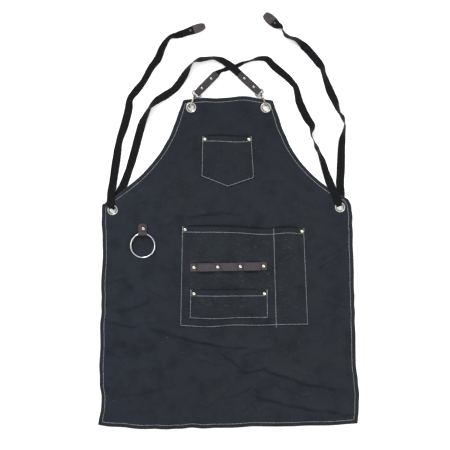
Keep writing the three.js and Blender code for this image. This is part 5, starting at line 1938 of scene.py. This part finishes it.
@dataclass
class HookEnd:
    """A snap hook with its swivel eye, and the folded leather tab that ties it to the webbing."""

    side: str
    swivel: Place
    tab: float
    eye: float
    hook: float
    length: float
    wire: float = 0.0015
    reach: float = 0.032
    front: float = 0.0066
    rear: float = 0.0026
    nose: float = 0.0046
    broad: float = 1.7
    # Shares of the wire's length: where its knuckles stand, with their height, and where it is slim
    knuckles: tuple[Place, ...] = ((0.80, 0.00035), (0.565, 0.0003))
    knuckle_width: float = 0.012
    slim: float = 0.0002
    slim_from: Place = (0.57, 0.60)
    slim_to: Place = (0.77, 0.80)
    eye_half: float = 0.0118
    eye_depth: float = 0.0125
    eye_wire: float = 0.0014
    boss: float = 0.0037
    bore: float = 0.0024
    boss_thick: float = 0.0024
    boss_lip: float = 0.0003
    play: float = 0.0014
    tab_width: float = 0.020
    tab_neck: float = 0.0174
    tab_fold: float = 0.0018
    tab_slack: float = 0.0013
    tab_pinch: float = 0.012
    tab_corner: float = 0.007

    def hook_surface(self) -> Surface:
        """The bent hook with its collar and swivel shank, the nose along +X.

        Returns:
            The hook about its swivel.
        """
        bend, lift = (self.front + self.rear) / 2, (self.front - self.rear) / 2
        angle = np.linspace(np.pi / 2, -np.pi / 2, 24)
        nose = self.reach - self.nose + self.nose * np.cos(angle)
        arc = np.stack([nose, lift + bend * np.sin(angle)], axis=-1)
        start = [(0.0026, 0.0008), (0.0044, 0.0042), (0.008, self.front), (0.018, self.front)]
        finish = [(0.018, -self.rear), (0.009, -self.rear), (0.0055, 0.0009 - self.rear), (0.003, -0.0005)]
        line = resampled(spline(np.concatenate([start, arc, finish]), 8), 150)
        path = np.stack([line[:, 0], np.zeros(len(line)), line[:, 1]], axis=-1)
        along = np.linspace(0, 1, len(line))
        knuckle = sum(rise * spot(along - at, self.knuckle_width) for at, rise in self.knuckles)
        slim = self.slim * ease(along, *self.slim_from) * (1 - ease(along, *self.slim_to))
        bent = tube(path, (0, 1, 0), self.wire + knuckle - slim)
        # Painted shade along both sides of the wire
        sides = 0.8 * ease(np.abs(bent.points[:, 1]) / self.wire, 0.45, 0.95)
        bent.points[:, 1] *= self.broad
        button = -self.boss_thick - self.play
        shank = np.array([
            (0, button - 0.0016), (0.0026, button - 0.0016), (0.0031, button - 0.0012),
            (0.0031, button - 0.0004), (0.0027, button), (0.0011, button), (0.0011, self.play),
            (0.0026, self.play), (0.003, self.play + 0.0004), (0.003, 0.0032), (0.0027, 0.0040),
            (0.0027, 0.0044), (0.0022, 0.0052), (0.0014, 0.0056), (0, 0.0057),
        ])
        swivel = self.laid(turned(shank, 24))
        made = Surface.joined([swivel, Surface(bent.points, bent.faces)])
        # The swivel takes painted shade all over, and the wire along its sides
        made.marks["painted_shade_mask"] = np.concatenate([np.full(len(swivel.points), 0.9), sides])
        return made

    @staticmethod
    def laid(upright: Surface) -> Surface:
        """A turned piece with its axis laid from Z along X: (x, y, z) becomes (z, y, -x)."""
        x, y, z = upright.points.T
        return Surface(np.stack([z, y, -x], axis=-1), upright.faces)

    def eye_surface(self) -> Surface:
        """The bowed wire of the eye and the boss that the hook turns in.

        The bow's half width is the root of the cosine as it goes round, so its bar is straight.

        Returns:
            The eye about its boss.
        """
        angle = np.linspace(0, np.pi, 60)
        cosine = np.cos(angle)
        bow = np.stack([
            self.eye_depth - (self.eye_depth - self.boss_thick / 2) * np.sin(angle),
            self.eye_half * np.sign(cosine) * np.sqrt(np.abs(cosine)), 0 * angle,
        ], axis=-1)
        across = np.linspace(-1, 1, 14)[1:-1] * self.eye_half
        bar = np.stack([np.full_like(across, self.eye_depth), across, 0 * across], axis=-1)
        loop = resampled(np.concatenate([bow, bar, bow[:1]]), 121)[:-1]
        wire = tube(loop, (0, 0, 1), self.eye_wire, 14, looped=True)
        lip = self.boss_lip
        boss = np.array([
            (self.bore, lip), (self.bore + lip, 0), (self.boss - lip, 0), (self.boss, lip),
            (self.boss, self.boss_thick - lip), (self.boss - lip, self.boss_thick),
            (self.bore + lip, self.boss_thick), (self.bore, self.boss_thick - lip), (self.bore, lip),
        ])
        ring = self.laid(turned(boss, 28))
        return Surface.joined([Surface(wire.points, wire.faces), ring])

    def build(self, finishes: Finishes) -> None:
        """Makes the hook, the eye and the tab in their places.

        Args:
            finishes: the materials.
        """
        swivel = (*self.swivel, TAB_HEIGHT)
        hook = self.hook_surface().moved(self.hook, swivel).into_object(f"hook_{self.side}_metal")
        dressed(hook, finishes.of[Metal.HOOK], [f"hook_{self.side}"])
        eye = self.eye_surface().moved(self.eye, swivel).into_object(f"hook_eye_{self.side}_metal")
        dressed(eye, finishes.of[Metal.EYE], [f"hook_eye_{self.side}"])
        heading = math.radians(self.eye)
        bar = np.array(swivel) + self.eye_depth * np.array([math.cos(heading), math.sin(heading), 0])
        apart = WEBBING_THICK / 2 + GAP
        tab = folded_strip(
            self.length, self.tab_width, neck=self.tab_neck, fold=self.tab_fold, slack=self.tab_slack,
            pinch=self.tab_pinch, upper=apart, lower=-apart, corner=self.tab_corner,
        )
        leather = tab.moved(self.tab, bar).into_object(f"hook_tab_{self.side}_leather")
        dressed(leather, finishes.of[Leather.TAB], [f"hook_tab_{self.side}"])


@dataclass
class Strap:
    """A webbing strap along its route, with the leather tip at its free end."""

    side: str
    route: tuple[RouteRow, ...]
    tip_heading: float
    steps: int = 12
    steep: float = 0.8
    tension: float = 0.3
    uneven: float = 0.018
    uneven_rates: Place = (5.1, 1.7)
    tip_width: float = 0.0265
    # Shares of half the tip's width and of its reach that draw its outline, from the riveted end to the nose
    tip_back: Place = (0.75, 0.25)
    tip_belly: Place = (1.1, 1.15)
    tip_shoulder: float = 0.8
    tip_blunt: float = 0.5
    tip_length: float = 0.058
    tip_overlap: float = 0.017
    tip_round: float = 0.0009
    tip_nose: float = 0.001
    punch: float = 0.0021
    punch_inset: float = 0.0085
    punch_depth: float = 0.001

    def stations(self) -> tuple[Array, Array, Array, Array]:
        """The webbing's middle line and section directions.

        The width stays level across the route and is then rolled by the turn, and the whole is raised so that
        its lowest edge lies on the base.

        Returns:
            Centres, across, up and widths.
        """
        rows = np.array(self.route)
        plan = spline(rows[:, :2], self.steps)
        lay = spline(rows[:, 3:], self.steps, self.tension)
        path = np.concatenate([plan, steady(rows[:, 2], self.steps)[:, None]], axis=1)
        along = tangents(path)
        level = np.stack([along[:, 1], -along[:, 0], np.zeros(len(path))], axis=-1)
        side = np.zeros_like(path)
        held = level[0]
        for k, (flat, forward) in enumerate(zip(level, along)):
            leans = np.linalg.norm(flat) < self.steep
            here = held - forward * np.dot(held, forward) if leans else flat
            here = here / np.linalg.norm(here)
            held = -here if k and np.dot(here, held) < 0 else here
            side[k] = held
        turn = np.radians(lay[:, 0])[:, None]
        rolled = side * np.cos(turn) + np.cross(along, side) * np.sin(turn)
        up = np.cross(along, rolled)
        run = np.arange(len(path)) / self.steps
        quick, slow = self.uneven_rates
        width = lay[:, 1] * (1 + self.uneven * np.sin(run * quick + 2 * np.sin(run * slow)))
        tall = (width * np.abs(rolled[:, 2]) + WEBBING_THICK * np.abs(up[:, 2])) / 2
        path[:, 2] += np.maximum(tall, WEBBING_THICK / 2)
        return path, rolled, up, width

    def build(self, finishes: Finishes) -> None:
        """Makes the webbing and its tip.

        Args:
            finishes: the materials.
        """
        centre, across, up, width = self.stations()
        section = flat_section(width / 2, np.full(len(width), WEBBING_THICK / 2), flats=13)
        webbing = sweep(centre, across, up, section).into_object(f"strap_{self.side}_webbing")
        dressed(webbing, finishes.webbing, [f"strap_{self.side}"])
        tip = self.tip_surface().into_object(f"strap_tip_{self.side}_leather")
        dressed(tip, finishes.of[Leather.TIP], [f"strap_tip_{self.side}"])

    def tip_surface(self) -> Surface:
        """The leather tip: its half width follows a cubic curve from the riveted end to the blunt nose.

        Returns:
            The tip in its place.
        """
        half, reach = self.tip_width / 2, self.tip_length - self.tip_overlap
        t = np.linspace(0, 1, 200)
        weights = np.stack([(1 - t) ** 3, 3 * t * (1 - t) ** 2, 3 * t ** 2 * (1 - t), t ** 3], axis=-1)
        outline = weights @ np.array([
            (-self.tip_overlap, self.tip_back[0] * half),
            (self.tip_back[1] * reach, self.tip_belly[0] * half),
            (self.tip_shoulder * reach, self.tip_belly[1] * half), (reach, self.tip_blunt * half),
        ])
        edge_lines = np.array([0, 0.0003, 0.0007, 0.0012])
        along = np.concatenate([
            -self.tip_overlap + edge_lines,
            np.linspace(-self.tip_overlap + 0.0018, reach - 0.0015, 92),
            reach - np.array([0.0010, 0.0006, 0.0003, 0]),
        ])
        share = np.linspace(-1, 1, 44)
        width = np.interp(along, outline[:, 0], outline[:, 1])[:, None]
        inner = (width - 0.0018) * share[None]
        y = np.concatenate([-width + edge_lines, inner, width - edge_lines[::-1]], axis=1)
        nose = self.tip_nose * (1 - (y / width) ** 2) * ease(along, reach - 0.012, reach)[:, None]
        x = np.repeat(along[:, None], y.shape[1], axis=1) + nose
        ends = np.minimum(along + self.tip_overlap, reach - along)[:, None]
        edge = np.minimum(width - np.abs(y), ends)
        middle = RIVET_BACK + 2 * GAP + LEATHER / 2
        half_thick = LEATHER / 2 * rounded_edge(edge, self.tip_round)
        # Rows run along the tip, so the grid is turned to keep its faces outwards
        x, y, half_thick, edge = x.T, y.T, half_thick.T, edge.T
        top = np.stack([x, y, middle + half_thick], axis=-1)
        bottom = np.stack([x, y, middle - half_thick], axis=-1)
        away = np.hypot(x - reach + self.punch_inset, y)
        hole = ease(-away, -self.punch - 0.0004, 0.0004 - self.punch)
        top[..., 2] -= self.punch_depth * hole
        keep = np.ones((x.shape[0] - 1, x.shape[1] - 1), bool)
        # Edges darken as wear, and the punch dimple is painted dark as painted shade for the hole's depth
        wear_and_painted_shade = spot(edge, 0.0012) + 2 * hole
        place = (*middle_of(f"strap_tip_{self.side}_rivet"), 0)
        return shell(top, bottom, keep, {"edge": wear_and_painted_shade}).moved(self.tip_heading, place)


@dataclass
class Studio:
    """The pale floor, soft lights and the camera that looks straight down."""

    view_width: float = 1.2105
    view_centre: Place = (-0.00646, -0.01237)
    lens: float = 85.0
    sensor: float = 36.0
    floor_reach: float = 40.0
    horizon: Colour = (0.10, 0.10, 0.10, 1.0)
    zenith: Colour = (1.02, 1.02, 1.03, 1.0)
    floor_tones: tuple[Colour, Colour] = ((0.95, 0.95, 0.95, 1), (0.97, 0.97, 0.97, 1))
    floor_drop: float = 0.0006
    floor_glow: float = 0.14

    def build(self) -> None:
        """Makes the floor, the world, the lights and the camera."""
        self.floor()
        self.sky()
        self.softbox("key_light", place=(-1.5, 2.8, 2.5), size=1.85, power=147)
        self.softbox("fill_light", place=(1.9, -1.2, 2.4), size=2.0, power=48)
        self.camera()
        settings = bpy.context.scene.view_settings
        settings.view_transform = "Standard"
        settings.look = "None"

    def floor(self) -> None:
        """A wide pale sheet under the apron."""
        reach = self.floor_reach
        corners = np.array([(-reach, -reach, 0), (reach, -reach, 0), (reach, reach, 0), (-reach, reach, 0)])
        made = Surface(corners - [0, 0, self.floor_drop], [np.arange(4)[None]]).into_object("floor")
        graph = ShaderGraph("pale_floor")
        tone = graph.noise(1.5, 2).eased(0.3, 0.7)
        colour = graph.blend(tone, *self.floor_tones)
        glow = {"Emission_Color": (1, 1, 1, 1), "Emission_Strength": self.floor_glow}
        made.data.materials.append(graph.finished(colour, 0.9, None, Specular_IOR_Level=0.1, **glow))

    def sky(self) -> None:
        """Pale light from overhead that fades towards the horizon, so that bright metal shows dark edges."""
        world = bpy.data.worlds.new("studio")
        bpy.context.scene.world = world
        world.use_nodes = True
        graph = NodeGraph(world.node_tree)
        height = graph.axes(graph.node("ShaderNodeTexCoord").outputs["Generated"])[2]
        colour = graph.blend(height.eased(0.05, 0.80), self.horizon, self.zenith)
        light = graph.node("ShaderNodeBackground", inputs={"Color": colour, "Strength": 1.0})
        graph.node("ShaderNodeOutputWorld", inputs={"Surface": light.outputs[0]})

    def softbox(self, name: str, place: Sequence[float], size: float, power: float) -> None:
        """A square light that faces the apron.

        Args:
            name: the light's name.
            place: where it hangs.
            size: the side of the square.
            power: watts.
        """
        light = bpy.data.lights.new(name, "AREA")
        light.shape, light.size, light.energy = "SQUARE", size, power
        made = bpy.data.objects.new(name, light)
        made.location = place
        x, y, height = place
        made.rotation_euler = (math.atan2(math.hypot(x, y), height), 0, math.atan2(-y, -x) - math.pi / 2)
        bpy.context.scene.collection.objects.link(made)

    def camera(self) -> None:
        """A long lens straight above, so far off that the view is as wide as the photograph's."""
        lens = bpy.data.cameras.new("camera")
        lens.lens, lens.sensor_width = self.lens, self.sensor
        made = bpy.data.objects.new("camera", lens)
        made.location = (*self.view_centre, self.view_width * self.lens / self.sensor)
        bpy.context.scene.collection.objects.link(made)
        bpy.context.scene.camera = made


class RivetKind(NamedTuple):
    """The rivets of one place: how their nodes' names start, their metal, slot and cap radius."""

    prefix: str
    metal: Metal
    slot: Slot
    cap: float


# The last row takes every rivet that no other names
RIVET_KINDS = (
    RivetKind("hook_tab", Metal.TAB, Slot.NICKEL, 0.0036),
    RivetKind("strap_tip", Metal.DULL, Slot.NICKEL, 0.0038),
    RivetKind("ring_tab", Metal.NICKEL, Slot.RIVET_METAL, 0.0042),
    RivetKind("", Metal.CAP, Slot.RIVET_METAL, 0.0042),
)

HOOK_ENDS = (
    HookEnd("left", (-0.0885, 0.3327), tab=45.3, eye=50.5, hook=246, length=0.075),
    HookEnd("right", (0.0913, 0.3366), tab=137.4, eye=130.5, hook=294.5, length=0.070),
)

STRAPS = (
    Strap("left", STRAP_LEFT_ROUTE, tip_heading=19.5, tip_width=0.0240),
    Strap(
        "right", STRAP_RIGHT_ROUTE, tip_heading=138, tip_width=0.0285, tip_back=(0.50, -0.05),
        tip_length=0.0510, tip_overlap=0.0135,
    ),
)


def build_rivets(finishes: Finishes) -> None:
    """Makes every rivet with the metal of its place, in the order of their nodes' names.

    Args:
        finishes: the materials.
    """
    for node in sorted(name for name in frame["nodes"] if "_rivet" in name):
        kind = next(kind for kind in RIVET_KINDS if node.startswith(kind.prefix))
        Rivet(node, finishes.of[kind.metal], kind.slot, cap=kind.cap).build()


def main() -> None:
    """Builds the stage and then each sub-assembly, from the panel outwards."""
    logging.basicConfig(level=logging.INFO, format="%(name)s: %(message)s")
    Studio().build()
    finishes = Finishes()
    Panel().build(finishes)
    CHEST_POCKET.build(finishes, on_panel, "apron_panel")
    MAIN_POCKET.build(finishes, on_panel, "apron_panel")
    SMALL_POCKET.build(finishes, on_main_pocket, "main_pocket")
    ToolStrip().build(finishes)
    RingSet().build(finishes)
    for node in GROMMETS:
        Grommet(node).build(finishes)
    build_rivets(finishes)
    for piece in (*HOOK_ENDS, *STRAPS):
        piece.build(finishes)


if __name__ == "__main__":
    main()
